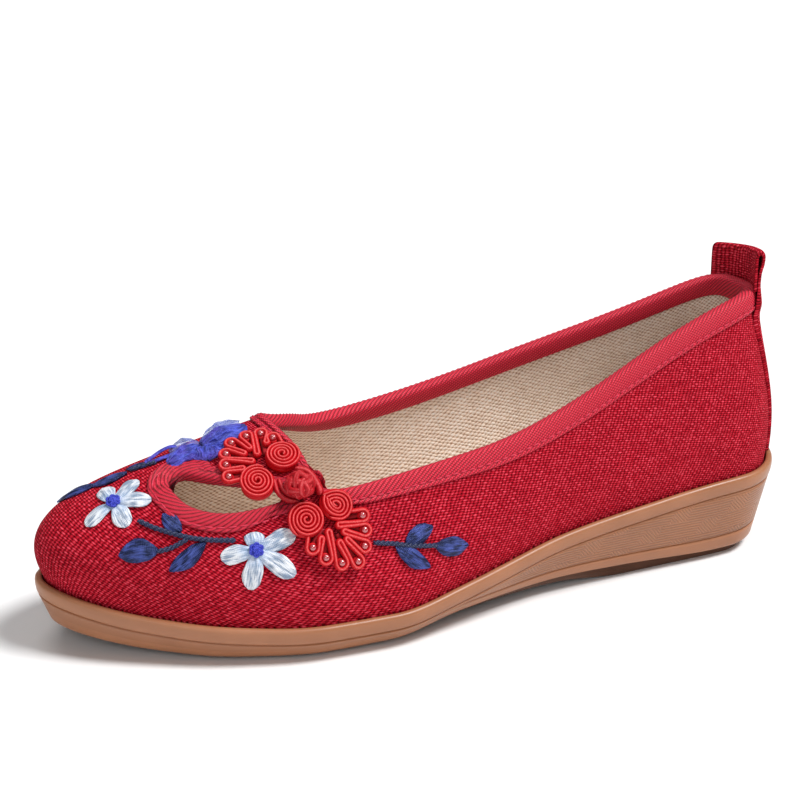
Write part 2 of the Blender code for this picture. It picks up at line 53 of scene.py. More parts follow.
# Plan of the line where canvas meets sole: place along the length, outer half width, inner half width
PLAN = np.array([
    (-3, 0, 0), (8, 16.2, 16.6), (24, 25.9, 25.6), (48, 36.6, 33.2), (72, 42, 36.2), (91, 42.3, 35.5),
    (120, 36.6, 31), (156, 29.2, 27.6), (192, 26.8, 26.8), (221, 24.6, 24.6), (241, 0, 0),
])

# Side view of the sole: place, rim top, bottom edge, tread face, height of the lower band
SIDE = np.array([
    (-8, 22.2, 7.6, 6.2, 4), (20, 15.6, 3, 1.6, 3), (40, 13, 1.3, 0, 2.6), (66, 11.6, 1, 0, 2.4),
    (92, 11.8, 1.4, 0, 3.2), (114, 14.6, 4, 2, 4.2), (130, 17.6, 5, 2.6, 3.4), (156, 22.5, 5.3, 2.2, 3.7),
    (180, 25.8, 4.7, 0, 4.2), (215, 29.3, 3.1, 0, 5.2), (246, 30.2, 3.2, 0, 6.6),
])
RIM, EDGE, TREAD, BAND = 1, 2, 3, 4

# Collar edge met by each meridian of the canvas: side, place on the plan line, collar x, y, z,
# rise and lean at the foot, reach and drop at the collar
COLLAR = [
    ("heel", 241, 232, 0, 87.6, 22, 2.5, 3, 24),
    ("outer", 224, 225, -13.5, 86.9, 22, 3, 3.5, 24),
    ("outer", 192, 196, -20, 78.8, 18, 4, 2.5, 18),
    ("outer", 158, 160, -26, 64.3, 14, 4, 2.5, 13),
    ("outer", 128, 130, -30.2, 56, 12, 3.5, 3, 12),
    ("outer", 106, 104, -31.5, 52.5, 12, 3, 4, 11),
    ("outer", 92, 80.2, -30.6, 49.4, 13, 3, 7, 10),
    ("outer", 72, 72.4, -23.4, 52.7, 14, 3, 12, 8),
    ("outer", 34, 70.6, -10, 59.4, 18, 5, 36, 9.5),
    ("toe", -3, 67.5, 3, 62.6, 20, 9, 62, 14.5),
    ("inner", 34, 74, 7.5, 59.8, 17.5, 5, 34, 12),
    ("inner", 72, 83.5, 15.5, 55.8, 14, 3, 13, 8),
    ("inner", 92, 91.5, 21.8, 53.2, 13, 3, 8, 10),
    ("inner", 106, 103, 26.2, 52.6, 12, 3, 5, 11),
    ("inner", 128, 128, 28, 56, 12, 3.5, 3, 12),
    ("inner", 158, 159, 26, 63.9, 14, 4, 2.5, 13),
    ("inner", 192, 196, 19.8, 75.4, 18, 4, 2.5, 18),
    ("inner", 224, 224, 13.5, 85.4, 22, 3, 3.5, 24),
]

# Width of the collar tape's legs: turn round the shoe, width
TAPE = np.array([(0, 7), (0.45, 7), (0.58, 5.4), (0.66, 4.6), (0.85, 4.8), (1, 5), (1.2, 5.4), (1.42, 6.2),
                 (1.6, 6.6)])

# Teardrop cut-out in the plane that touches the canvas there: along, across, width of the tape's leg
CUTOUT_AT = (0.7454, 0.697)
CUTOUT = np.array([
    (-15.94, 10.45, 6.2), (-15.34, 6.25, 6.6), (-13.54, 2.45, 6.7), (-10.24, -0.85, 6.4), (-4.54, -3.85, 6),
    (1.86, -5.25, 5.8), (8.56, -5.45, 5.8), (14.26, -4.95, 4.6), (16.86, -4.05, 3.6), (13.76, -1.45, 3.8),
    (5.86, 2.45, 4), (-2.54, 6.45, 4.2), (-8.14, 9.65, 4.5), (-13.14, 11.85, 4.8),
])

# Knotted cord halves: anchor, spirals (along, across, radius, turning), beads from one end of the fan to the
# other, the inner bends between them, and the fan's two ends
CORD_STRAP = ((0.7276, 0.866), [(4.55, 0.9, 5.5, 1), (-5.05, -5.7, 5.5, -1)],
              [(-12.35, -1.6), (-11.95, 2.7), (-10.75, 6.6), (-7.95, 10.3), (-3.05, 11.5), (1.35, 11.1),
               (4.15, 8.2)],
              [(-7.85, -0.3), (-4.55, 1.4), (-5.85, 5), (-3.65, 6.5), (-2.15, 3.7), (1.75, 6.9)],
              (-7.95, -3.6), (6.05, 5.4))
CORD_SIDE = ((0.6223, 0.678), [(-5.8, 0.65, 5.6, 1), (3.8, 3.95, 5.3, -1)],
             [(11, -0.45), (10.9, -4.75), (10, -9.25), (7.2, -13.15), (2.2, -12.75), (-2.2, -10.65),
              (-5.5, -7.25)],
             [(3.1, -2.35), (4.4, -4.45), (4.8, -6.75), (2.4, -7.25), (-0.3, -3.85), (-2.7, -5.35)],
             (7.5, 1.25), (-6.1, -3.55))
CORD_BASE = 1.4             # cords lie over the tapes
SPIRAL_PITCH = 1.04
OUTER_BEND = 1.72
INNER_BEND = 0.62
KNOT_AT = (0.6647, 0.822)
KNOT = (4.3, 4.2, 3.4)      # half sizes along, across, up
KNOT_SHIFT = (-0.35, -2.15)
KNOT_LEAN = 0.7
KNOT_RINGS = (-0.52, 0.0, 0.52)
KNOT_CORDS = [([(-6.55, 2.45), (-6.55, -1.75), (-4.55, -4.55), (-1.65, -5.75)], 0.78),
              ([(-5.25, 2.45), (-4.85, -1.55), (-3.25, -3.55), (-0.85, -4.55)], 0.74),
              ([(0.15, 4.05), (2.95, 2.65), (4.65, -0.05), (5.25, -2.85), (5.05, -5.15)], 1.25)]

# Ribbon flowers: anchor, then petals as tip along, across, half width
FLOWER_TOE = ((0.8989, 0.576), [(-2, 7.6, 2.9), (8.7, 5.2, 2.6), (10.5, -3.6, 2.6), (1.2, -8.8, 2.9),
                                (-10, -3, 2.4)])
FLOWER_SIDE = ((0.6967, 0.454), [(-0.1, 5.2, 3), (12, 2.9, 2.9), (10.1, -9.1, 3), (-3.3, -11, 3),
                                 (-10.4, -0.6, 2.8)])

# Leaf sprigs: anchor, cords as rows of points, leaves as base and tip along and across, bow, half width
SPRIG_FRONT = ((0.7684, 0.485),
               [[(-13, 7.6), (-7.9, 3.9), (-0.4, -0.1), (5.8, -2.4), (13.6, -4.2)],
                [(-9.4, -2.5), (-4.9, -2.3), (0.2, -0.9)]],
               [(-8.8, -2.2, -20.4, -1, -0.6, 3.5), (5, -3, -7, -8.6, 0.4, 2.6),
                (-1.2, 1.6, -5.6, 8, 0.2, 2.5)])
SPRIG_REAR = ((0.5453, 0.454),
              [[(-14.2, 3.4), (-8, 2.2), (-1.9, 0.6), (6, -0.6)]],
              [(-4.2, 1.2, 5.3, 5.3, 0.4, 2.9), (5.2, -0.6, 17, -2.4, -0.4, 3.1),
               (-7.4, 1.4, 3.2, -6.8, -0.5, 2.7)])
SPRIG_TOE = ((0.9791, 0.674),
             [[(12, -1.8), (8, -0.6), (4.2, 0.2)]],
             [(10.4, -1, 3.4, 2.6, 0.2, 1.7), (3, -0.2, -8.2, 2.8, 0.5, 2.2),
              (-6.6, 2.2, -18.4, 10, 0.6, 2.3)])

# Outlines of a petal, a leaf and a sheer petal: share of the length, share of the half width
PETAL = np.array([(0, 0.42), (0.14, 0.60), (0.34, 0.86), (0.58, 1), (0.78, 0.90), (0.91, 0.64), (1, 0.26)])
LEAF = np.array([(0, 0.14), (0.12, 0.52), (0.32, 0.90), (0.52, 1), (0.74, 0.80), (0.90, 0.44), (1, 0.10)])
CHIFFON_EDGE = np.array([(0, 0.40), (0.10, 0.70), (0.30, 0.97), (0.55, 1), (0.80, 0.94), (0.93, 0.68),
                         (1, 0.22)])

# Sheer flower: anchor, gathered petals and veils (base, tip, half width, height, slot), a thin loop
CHIFFON_AT = (0.9450, 0.870)
CHIFFON = [(-0.2, -2.2, 14, 0.4, 4.2, 2.8, 0), (-0.6, -2.4, -11.6, -4.4, 3.3, 2.2, 0),
           (0.3, -3.2, -1, -9, 3.9, 2, 0), (0.4, -1.4, 13.4, 4.4, 3.4, 3, 1),
           (-0.6, -1.2, -9, 2.4, 3.2, 2.4, 1), (1, -3, 6.6, -6.4, 2.6, 1.4, 0)]
CHIFFON_LOOP = [(-8, -1, 0.9), (-12, -0.6, 0.8), (-16, -0.2, 0.8), (-17, 0.4, 1.2), (-15, 1, 1.5),
                (-12, 1.4, 2.1), (-9, 1.2, 2.4), (-7, 0.6, 2)]

# Heel loop
TAB_HALF = 13.5
TAB_THICK = 1.3
TAB_ABOVE = 10.4
TAB_LEAVES = 7.0            # the strip leaves the canvas this far below the collar edge
TAB_FLAT_X = 227.4
TAB_BOW = 4.2
TAB_TOP_Z = 87.6
TAB_TILT = 1.7
TAB_ASIDE = 0.9
TAB_TURNS = 0.3             # the strip's edges lie within this turn of the heel

# Tape ribs and stitches
RIB_PITCH = 1.9
RIB_SLOPE = 1.5
RIB_STEPS = 7
RIB_HIGH = 0.24
FOLD = 13                   # point of the tape's section at its fold
STITCH_PITCH = 2.9
STITCH_LONG = 2.1
STITCH_IN = 1.45            # from the tape's edge
CANVAS_SHORT = 1.6          # the canvas ends this far short of the collar's edge, and of the cut-out's
CUTOUT_SHORT = 1.8

# Weave, and the hatched patches of the sole's wall
THREAD_ROUND = 3.8          # how fast a thread falls off from its middle
HATCH_RIB = 0.95            # spacing of the wall's fine ribs, and of the ribs across a patch
HATCH_DIAGONAL = 1.2
HATCH_PERIOD = 22.4         # patches repeat along the wall and down it, every other row half a step on
HATCH_ROWS = 12.0
HATCH_FIRST = 1.7           # one patch's middle from the heel, and above the lower band
HATCH_MIDDLE = 5.7
HATCH_WIDE = 6.8
HATCH_HIGH = 5.4
# colour of the painted shade in the wall's grooves
HATCH_GROOVE_SHADE = (0.18, 0.070, 0.030)

# How the threads lean on the flat pattern: distance from the toe, rise, lean
GRAIN = np.array([(0, 0, 0), (30, -0.20, 0.12), (65, -0.22, 0.42), (125, 0.32, 0.78), (185, 0.52, 0.92),
                  (225, 0.58, 0.98)])

# Camera of the photograph, in millimetres of the tables, then degrees and pixels
EYE_TARGET = (110.88, 0.0, 62.36)
EYE_YAW = 22.71
EYE_RISE = 20.14
EYE_AWAY = 632.44
EYE_FOCUS = 2036.5
PICTURE = 800
SENSOR = 36.0

# Suns: name, where from, power, spread in degrees; then the sky's strength and the floor
LAMPS = [("key", (0.62, -0.40, 1.25), 3.35, 20), ("fill", (-0.5, -0.9, 0.60), 0.68, 40),
         ("back", (-0.1, 0.45, 1.2), 0.6, 30)]
SKY = 0.18
FLOOR_HALF = 3.0
FLOOR_TONES = ((0.865, 0.87, 0.875), (0.88, 0.885, 0.89))


# Curves through table rows
def shaped(xs, ys, q):
    """Cubic through the rows that keeps flats flat."""
    h = np.diff(xs)
    d = np.diff(ys) / h
    m = np.zeros(len(xs))
    m[0], m[-1] = d[0], d[-1]
    for i in range(1, len(xs) - 1):
        if d[i - 1] * d[i] > 0:
            w1 = 2 * h[i] + h[i - 1]
            w2 = h[i] + 2 * h[i - 1]
            m[i] = (w1 + w2) / (w1 / d[i - 1] + w2 / d[i])
    k = np.clip(np.searchsorted(xs, q, side="right") - 1, 0, len(xs) - 2)
    t = (q - xs[k]) / h[k]
    return ((1 + 2 * t) * (1 - t) ** 2 * ys[k] + t * (1 - t) ** 2 * h[k] * m[k]
            + t * t * (3 - 2 * t) * ys[k + 1] + t * t * (t - 1) * h[k] * m[k + 1])


def looped(xs, ys, period, q):
    """Smooth closed cubic through the rows."""
    n = len(xs)
    h = np.diff(np.append(xs, xs[0] + period))
    col = [-1] + [1] * (ys.ndim - 1)
    d = (np.roll(ys, -1, 0) - ys) / h.reshape(col)
    a = np.zeros((n, n))
    for i in range(n):
        a[i, i - 1] += h[i - 1]
        a[i, i] += 2 * (h[i - 1] + h[i])
        a[i, (i + 1) % n] += h[i]
    m = np.linalg.solve(a, 6 * (d - np.roll(d, 1, 0)))
    q = (q - xs[0]) % period + xs[0]
    k = np.clip(np.searchsorted(xs, q, side="right") - 1, 0, n - 1)
    k1 = (k + 1) % n
    t = (q - xs[k]).reshape(col)
    hk = h[k].reshape(col)
    return (ys[k] + t * (d[k] - hk * (2 * m[k] + m[k1]) / 6) + t ** 2 * m[k] / 2
            + t ** 3 * (m[k1] - m[k]) / (6 * hk))


def through(points, step):
    """Smooth open line through a few points, in steps of about that length."""
    p = np.asarray(points, float)
    q = np.r_[2 * p[:1] - p[1:2], p, 2 * p[-1:] - p[-2:-1]]
    out = []
    for a, b, c, d in zip(q[:-3], q[1:-2], q[2:-1], q[3:]):
        count = max(2, int(np.linalg.norm(c - b) / step))
        t = (np.arange(count) / count)[:, None]
        out.append(0.5 * (2 * b + (c - a) * t + (2 * a - 5 * b + 4 * c - d) * t ** 2
                          + (3 * b - a - 3 * c + d) * t ** 3))
    out.append(p[-1:])
    return np.concatenate(out)


def lengths(p):
    return np.append(0, np.cumsum(np.linalg.norm(np.diff(p, axis=0), axis=1)))


def unit(v):
    return v / np.linalg.norm(v, axis=-1, keepdims=True)


def between(table, x, y):
    """Values of a table between its rows and columns."""
    i, j = x.astype(int), y.astype(int)
    more = (1,) * (table.ndim - 2)
    f, g = (x - i).reshape(*x.shape, *more), (y - j).reshape(*y.shape, *more)
    return ((table[i, j] * (1 - f) + table[i + 1, j] * f) * (1 - g)
            + (table[i, j + 1] * (1 - f) + table[i + 1, j + 1] * f) * g)


# Canvas surface: s runs round the shoe from 0 at the heel by the outer side to 1 at the toe and back to 2,
# t runs from 0 at the sole to 1 at the collar edge
def angle(x):
    u = (np.asarray(x, float) - TOE_X) / (HEEL_X - TOE_X)
    return np.arccos(1 - 2 * np.clip(u, 0, 1))


def feather(s):
    s = np.asarray(s, float) % 2
    phi = np.pi * np.abs(1 - s)
    place = angle(PLAN[:, 0])
    u = (1 - np.cos(phi)) / 2
    half = np.where(s <= 1, -shaped(place, PLAN[:, 1], phi), shaped(place, PLAN[:, 2], phi))
    return np.stack([TOE_X + u * (HEEL_X - TOE_X), half + TOE_Y * (1 - u) ** 3], -1)


def feather_out(s):
    d = unit(feather(s + STEP) - feather(s - STEP))
    return np.stack([-d[..., 1], d[..., 0]], -1)


def side(x, column):
    return shaped(SIDE[:, 0], SIDE[:, column], np.clip(x, SIDE[0, 0], SIDE[-1, 0]))


def turn_of(where, x):
    if where == "heel":
        return 0.0
    share = float(angle(x)) / np.pi
    return 1 + share if where == "inner" else 1 - share


ROW_TURN = np.array([turn_of(row[0], row[1]) for row in COLLAR])
ROW_SHAPE = np.array([row[2:] for row in COLLAR])


def canvas(s, t):
    s, t = np.broadcast_arrays(np.asarray(s, float), np.asarray(t, float))
    flat = s.ravel()
    c = looped(ROW_TURN, ROW_SHAPE, 2.0, flat)
    f = feather(flat)
    foot = np.c_[f, side(f[:, 0], RIM)]
    low = foot + np.c_[feather_out(flat) * c[:, 4:5], c[:, 3:4]]
    top = c[:, 0:3]
    high = top + np.c_[unit(f - top[:, :2]) * c[:, 5:6], -c[:, 6:7]]
    w = t.ravel()[:, None]
    p = (1 - w) ** 3 * foot + 3 * (1 - w) ** 2 * w * low + 3 * (1 - w) * w * w * high + w ** 3 * top
    return p.reshape(*s.shape, 3)


def canvas_out(s, t):
    along = canvas(s + STEP, t) - canvas(s - STEP, t)
    up = canvas(s, t + STEP) - canvas(s, t - STEP)
    return unit(np.cross(up, along))


def collar_chart(first, last, count, deepest, steps):
    """Function that gives t at a distance down the canvas from the collar edge, between two turns."""
    ts = np.linspace(1, 0, 121)
    turns = np.linspace(first, last, count)
    p = canvas(turns[:, None], ts[None])
    run = np.cumsum(np.linalg.norm(np.diff(p, axis=1), axis=2), 1)
    depth = np.linspace(0, deepest, steps)
    table = np.stack([np.interp(depth, np.append(0, row), ts) for row in run])
    full = 1 - 1e-9

    def t_at(s, d):
        s, d = np.broadcast_arrays(s, d)
        x = np.clip((s - first) / (last - first), 0, full) * (count - 1)
        return between(table, x, np.clip(d / deepest, 0, full) * (steps - 1))
    return t_at


EDGE_CHART = collar_chart(0.0, 2.0, 801, 12.0, 49)
HEEL_CHART = collar_chart(-TAB_TURNS, TAB_TURNS, 121, 60.0, 121)


def touch(at):
    """Point, normal and two axes of the plane that touches the canvas at a place."""
    s, t = np.array(at[0]), np.array(at[1])
    n = canvas_out(s, t)
    e1 = unit(np.array([1.0, 0.0, 0.0]) - n * n[0])
    return canvas(s, t), n, e1, np.cross(n, e1)


def lay(at, ab):
    """Points of a touching plane laid on the canvas, with the canvas's normals there."""
    p0, n0, e1, e2 = touch(at)
    a, b = ab[:, 0], ab[:, 1]
    s = np.full(len(ab), float(at[0]))
    t = np.full(len(ab), float(at[1]))
    most_s, most_t, highest = 0.04, 0.12, 1.08
    for _ in range(16):
        p = canvas(s, t) - p0
        ps = (canvas(s + STEP, t) - canvas(s - STEP, t)) / (2 * STEP)
        pt = (canvas(s, t + STEP) - canvas(s, t - STEP)) / (2 * STEP)
        ra, rb = a - p @ e1, b - p @ e2
        m11, m12, m21, m22 = ps @ e1, pt @ e1, ps @ e2, pt @ e2
        det = m11 * m22 - m12 * m21
        s = s + np.clip((ra * m22 - rb * m12) / det, -most_s, most_s)
        t = np.clip(t + np.clip((rb * m11 - ra * m21) / det, -most_t, most_t), 0.0, highest)
    return canvas(s, t), canvas_out(s, t)


# Meshes: grids of points gathered into one piece, with a flat coordinate for the materials
class Batch:
    def __init__(self):
        self.points, self.flats, self.loops, self.sizes, self.slots = [], [], [], [], []
        self.total = 0

    def grid(self, p, flat, rows_meet=False, columns_meet=False, caps=False, slot=0):
        r, c = p.shape[:2]
        i = np.arange(r if rows_meet else r - 1)[:, None]
        j = np.arange(c if columns_meet else c - 1)[None]
        corner = [(i, j), (i, j + 1), (i + 1, j + 1), (i + 1, j)]
        index = np.stack([self.total + a % r * c + b % c for a, b in corner], -1).reshape(-1, 4)
        self.add(index, np.stack([flat[a, b] for a, b in corner], 2), slot)
        if caps:
            ring = self.total + np.arange(c)
            self.add(ring[None, ::-1], flat[:1, :c][:, ::-1], slot)
            self.add(ring[None] + (r - 1) * c, flat[r - 1:r, :c], slot)
        self.points.append(p.reshape(-1, 3))
        self.total += r * c

    def add(self, index, flat, slot):
        self.loops.append(index.ravel())
        self.sizes.append(np.full(len(index), index.shape[1]))
        self.flats.append(np.reshape(flat, (-1, 2)))
        self.slots.append(np.full(len(index), slot))

    def lid(self, ring, columns, slot=0, sink=None):
        """Close a ring round the shoe with strips from side to side."""
        half = len(ring) // 2
        pairs = np.arange(1, half)
        share = np.linspace(0, 1, columns)[None, :, None]
        q = ring[pairs][:, None] * (1 - share) + ring[-pairs][:, None] * share
        if sink:
            q[:, 1:-1, 2] += sink(q[:, 1:-1], share[0, 1:-1, 0])
        rows = self.total + np.arange(columns)
        self.grid(q, q[..., :2], slot=slot)
        tips = ring[[0, half]]
        for k in (0, 1):
            row = rows + k * (len(pairs) - 1) * columns
            self.add(np.append(row, self.total + k)[None], np.r_[q[-k, :, :2], tips[k:k + 1, :2]], slot)
        self.points.append(tips)
        self.total += 2

    def make(self, name, materials, weld=False, turn=True):
        co = (np.concatenate(self.points) - (*ORIGIN, 0.0)) * MM
        loops, sizes = np.concatenate(self.loops), np.concatenate(self.sizes)
        mesh = bpy.data.meshes.new(name)
        mesh.vertices.add(len(co))
        mesh.vertices.foreach_set("co", co.ravel())
        mesh.loops.add(len(loops))
        mesh.loops.foreach_set("vertex_index", loops)
        mesh.polygons.add(len(sizes))
        mesh.polygons.foreach_set("loop_start", np.append(0, np.cumsum(sizes))[:-1])
        mesh.polygons.foreach_set("material_index", np.concatenate(self.slots))
        mesh.polygons.foreach_set("use_smooth", np.ones(len(sizes), bool))
        layer = mesh.uv_layers.new(name="flat")
        layer.data.foreach_set("uv", np.concatenate(self.flats).ravel())
        mesh.update(calc_edges=True)
        bm = bmesh.new()
        bm.from_mesh(mesh)
        if weld:
            bmesh.ops.remove_doubles(bm, verts=bm.verts, dist=1e-6)
        if turn:
            bmesh.ops.recalc_face_normals(bm, faces=bm.faces)
        bm.to_mesh(mesh)
        bm.free()
        for m in materials:
            mesh.materials.append(m)
        return put(name, mesh)


def put(name, data):
    """New object in the scene."""
    obj = bpy.data.objects.new(name, data)
    bpy.context.scene.collection.objects.link(obj)
    return obj


def dress(obj, slot, *nodes):
    """Fix a piece to the shoe in place of its solids."""
    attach(obj, "root")
    if nodes:
        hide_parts(*nodes)


def spread(along, across):
    """Flat coordinates of a grid from one row and one column."""
    return np.stack(np.broadcast_arrays(np.asarray(along)[:, None], np.asarray(across)[None]), -1)


def tube(batch, path, up, wide, tall, sides, slot=0, closed=False, ends=0):
    """Round cord along a path, with its width and height, rounded off over some points at its ends."""
    way = unit(np.roll(path, -1, 0) - np.roll(path, 1, 0) if closed else np.gradient(path, axis=0))
    out = unit(np.cross(way, up))
    lift = np.cross(out, way)
    turn = np.arange(sides) * TAU / sides
    size = (blunt(len(path), ends) if ends else np.ones(len(path)))[:, None, None]
    ring = (path[:, None] + out[:, None] * np.cos(turn)[:, None] * (wide * size)
            + lift[:, None] * np.sin(turn)[:, None] * (tall * size))
    run = lengths(np.r_[path, path[:1]] if closed else path)
    batch.grid(ring, spread(run, np.arange(sides + 1) / sides), closed, True, not closed, slot)


def blunt(count, ends):
    """Size along a cord that rounds off at both ends."""
    k = np.minimum(np.arange(count), np.arange(count)[::-1])
    return np.sqrt(1 - (1 - np.clip((k + 0.35) / ends, 0, 1)) ** 2)


def cord(batch, at, ab, high, wide, tall, sides, slot=0, ends=0):
    """Round cord with its middle that high over the canvas."""
    p, n = lay(at, ab)
    tube(batch, p + n * np.reshape(high, (-1, 1)), n, wide, tall, sides, slot, ends=ends)


def ball(batch, middle, axes, rows, columns, slot):
    pole = 0.06
    tilt = np.linspace(pole, np.pi - pole, rows)
    turn = np.arange(columns) * TAU / columns
    unit_ball = np.stack([np.outer(np.sin(tilt), np.cos(turn)), np.outer(np.sin(tilt), np.sin(turn)),
                          np.outer(np.cos(tilt), np.ones(columns))], -1)
    flat = spread(tilt, np.arange(columns + 1) / columns)
    batch.grid(middle + unit_ball @ np.asarray(axes), flat, False, True, True, slot)


# Materials: values that take plain arithmetic, and the nodes behind them
class Value:
    def __init__(self, net, socket):
        self.net, self.socket = net, socket

    def __add__(self, other):
        return self.net.math("ADD", self, other)

    def __sub__(self, other):
        return self.net.math("SUBTRACT", self, other)

    def __mul__(self, other):
        return self.net.math("MULTIPLY", self, other)

    def __truediv__(self, other):
        return self.net.math("DIVIDE", self, other)


class Net:
    def __init__(self, name, **fixed):
        self.material = bpy.data.materials.new(name)
        self.material.use_nodes = True
        self.tree = self.material.node_tree
        self.shader = self.tree.nodes["Principled BSDF"]
        for key, value in fixed.items():
            self.shader.inputs[key.replace("_", " ")].default_value = value

    def join(self, value, socket):
        if isinstance(value, Value):
            self.tree.links.new(value.socket, socket)
        else:
            socket.default_value = value

    def node(self, kind, inputs, output=0, **props):
        n = self.tree.nodes.new("ShaderNode" + kind)
        for key, value in props.items():
            setattr(n, key, value)
        for key, value in inputs.items():
            self.join(value, n.inputs[key])
        return Value(self, n.outputs[output])

    def math(self, operation, *values):
        return self.node("Math", dict(enumerate(values)), operation=operation)

    def sine(self, value):
        return self.math("SINE", value)

    def within(self, value, limit):
        return self.math("LESS_THAN", self.math("ABSOLUTE", value), limit)

    def flat(self):
        uv = self.node("UVMap", {}, uv_map="flat")
        return [self.node("SeparateXYZ", {0: uv}, k) for k in (0, 1)]

    def place(self):
        return self.node("TexCoord", {}, "Object")

    def noise(self, x, y, detail=2.0):
        where = self.node("CombineXYZ", {0: x, 1: y})
        return self.node("TexNoise", {"Vector": where, "Scale": 1.0, "Detail": detail})

    def cloud(self, scale, detail=3.0):
        return self.node("TexNoise", {"Vector": self.place(), "Scale": scale, "Detail": detail})

    def range(self, value, a, b, c=0.0, d=1.0):
        return self.node("MapRange", {0: value, 1: a, 2: b, 3: c, 4: d})

    def mix(self, factor, a, b):
        a, b = ((*c, 1.0) if isinstance(c, tuple) else c for c in (a, b))
        return self.node("Mix", {0: factor, 6: a, 7: b}, 2, data_type="RGBA")

    def bump(self, height, distance, under=None):
        inputs = {"Height": height, "Distance": distance * MM, "Strength": 1.0}
        if under is not None:
            inputs["Normal"] = under
        return self.node("Bump", inputs)

    def finish(self, colour=None, normal=None, roughness=None):
        for key, value in (("Base Color", colour), ("Normal", normal), ("Roughness", roughness)):
            if value is not None:
                self.join(value, self.shader.inputs[key])
        return self.material


def weave(net, across, up, rise):
    """Plain weave: height of the thread on top, a lot for each crossing, and a tone along each thread."""
    u, v = net.flat()
    drift = net.noise(u * 0.30, v * 0.30)
    drift_up = net.noise(u * 0.22, v * 0.3 + 40.0)
    u = u / across + (drift - 0.5)
    v = v / up + (drift_up - 0.5)
    column, row = net.math("ROUND", u), net.math("ROUND", v)
    heights = []
    for line, other, aside, amount in ((u, row, v - row, 0.5), (v, column, u - column, -rise)):
        wave = net.math("COSINE", (line + other) * np.pi)
        heights.append(wave * amount + aside * aside * -THREAD_ROUND)
    lot = net.node("TexWhiteNoise", {"Vector": net.node("CombineXYZ", {0: column, 1: row})})
    return net.math("MAXIMUM", *heights), lot, net.noise(u * 0.45, row * 5.1)


def woven(name, thread, tone_and_highlight, gap_shade, across, up, depth, rise, shine):
    net = Net(name, Roughness=0.9, Specular_IOR_Level=shine)
    high, lot, tone = weave(net, across, up, rise)
    top = (lot - 0.5) * 0.28 + high
    # Painted shade: darker between the threads, where their tops fall away
    colour = net.mix(net.range(top, -0.62, 0.16), gap_shade, thread)
    # Painted highlight on the threads' tops, mixed with each thread's random tone
    colour = net.mix(net.range(tone * 0.45 + top, 0.36, 0.86), colour, tone_and_highlight)
    colour = net.mix(net.range(net.cloud(70.0), 0.35, 0.7, 0.0, 0.10), colour, gap_shade)
    fibre = net.cloud(4200.0, 1.0)
    return net.finish(colour, net.bump(tone * 0.5 + high + fibre * 0.3, depth))


def twill(name, low, high, tone_and_highlight):
    """Diagonal ribs, drawn as the tape's own ridges are, with painted shade between them and a painted
    highlight of lighter flecks on their crests.
    """
    net = Net(name, Roughness=0.5, Specular_IOR_Level=0.35, Sheen_Weight=0.06, Sheen_Roughness=0.4,
              Sheen_Tint=(1.0, 0.5, 0.55, 1.0))
    u, v = net.flat()
    phase = (v * -RIB_SLOPE + u) / RIB_PITCH
    crest = net.math("ABSOLUTE", net.sine(phase * np.pi))
    strand = net.sine(net.math("FLOOR", phase) * np.pi + (u * RIB_SLOPE + v) * (TAU / 1.25))
    fleck = net.noise(u * 2.4, v * 3.2)
    shade = net.range(crest, 0.15, 0.85) * 0.80 + (strand * 0.12 + fleck * 0.35)
    # Painted shade: the low colour darkens the lines between the ribs, the high colour lights their crests
    colour = net.mix(net.range(shade, 0.12, 1.1), low, high)
    on_top = net.range(fleck * 1.6 + strand, 0.7, 1.9, 0.0, 0.6)
    # Painted highlight: lighter flecks on the crests, partly random tone
    colour = net.mix(on_top * crest, colour, tone_and_highlight)
    return net.finish(colour, net.bump(strand * 0.3 + fleck * 0.8, 0.12))


def satin_cord(name, low, high):
    """Satin-covered cord with a painted highlight along its crest."""
    net = Net(name, Roughness=0.42, Specular_IOR_Level=0.25)
    u, v = net.flat()
    fleck = net.noise(u * 1.6, v * 9.0)
    crest = (fleck - 0.5) * 0.25 + net.sine(v * TAU)
    wrap = net.sine((v * 1.6 + u) * (TAU / 0.42))
    # Painted highlight: the high colour lights a narrow line along the cord's top
    colour = net.mix(net.range(crest, 0.92, 1.04), low, high)
    return net.finish(colour, net.bump(fleck * 0.8 + wrap * 0.25, 0.10))


def ribbon(name, light, shade, dark, streak, **fixed):
    """Woven ribbon with gathers along its length, painted shade in the gathers, slow patches of painted sheen
    and shade, and painted shade towards the base.
    """
    net = Net(name, **fixed)
    u, v = net.flat()
    gather = net.noise(u * 0.22, v * 1.7, 3.0)
    fine = net.noise(u * 0.5, v * 6.5, 1.0)
    both = fine * 0.4 + gather * 0.6
    patch = net.noise(u * 0.25, v * 0.40, 1.0) - 0.5
    # Painted light and shade: the shade colour fills the gathers, and slow patches are lit or shaded as sheen
    colour = net.mix(net.range(patch * 0.55 + both, *streak), shade, light)
    # Painted shade: darker towards the base of each petal and leaf
    colour = net.mix(net.range(u, 0.0, 5.0, 0.55, 0.0), colour, dark)
    rib = net.sine(u * (TAU / 0.5))
    return net.finish(colour, net.bump(both * 2.2 + rib * 0.12, 0.22))


def twisted(name, low, high, roughness):
    net = Net(name, Roughness=roughness)
    u, v = net.flat()
    ply = net.sine((v * 1.3 + u) * (TAU / 0.5))
    # Painted shade between the plies and light on their tops, mixed with random tone
    shade = ply * 0.3 + net.noise(u * 2.2, v * 6.0)
    return net.finish(net.mix(net.range(shade, 0.3, 0.95), low, high), net.bump(shade, 0.12))


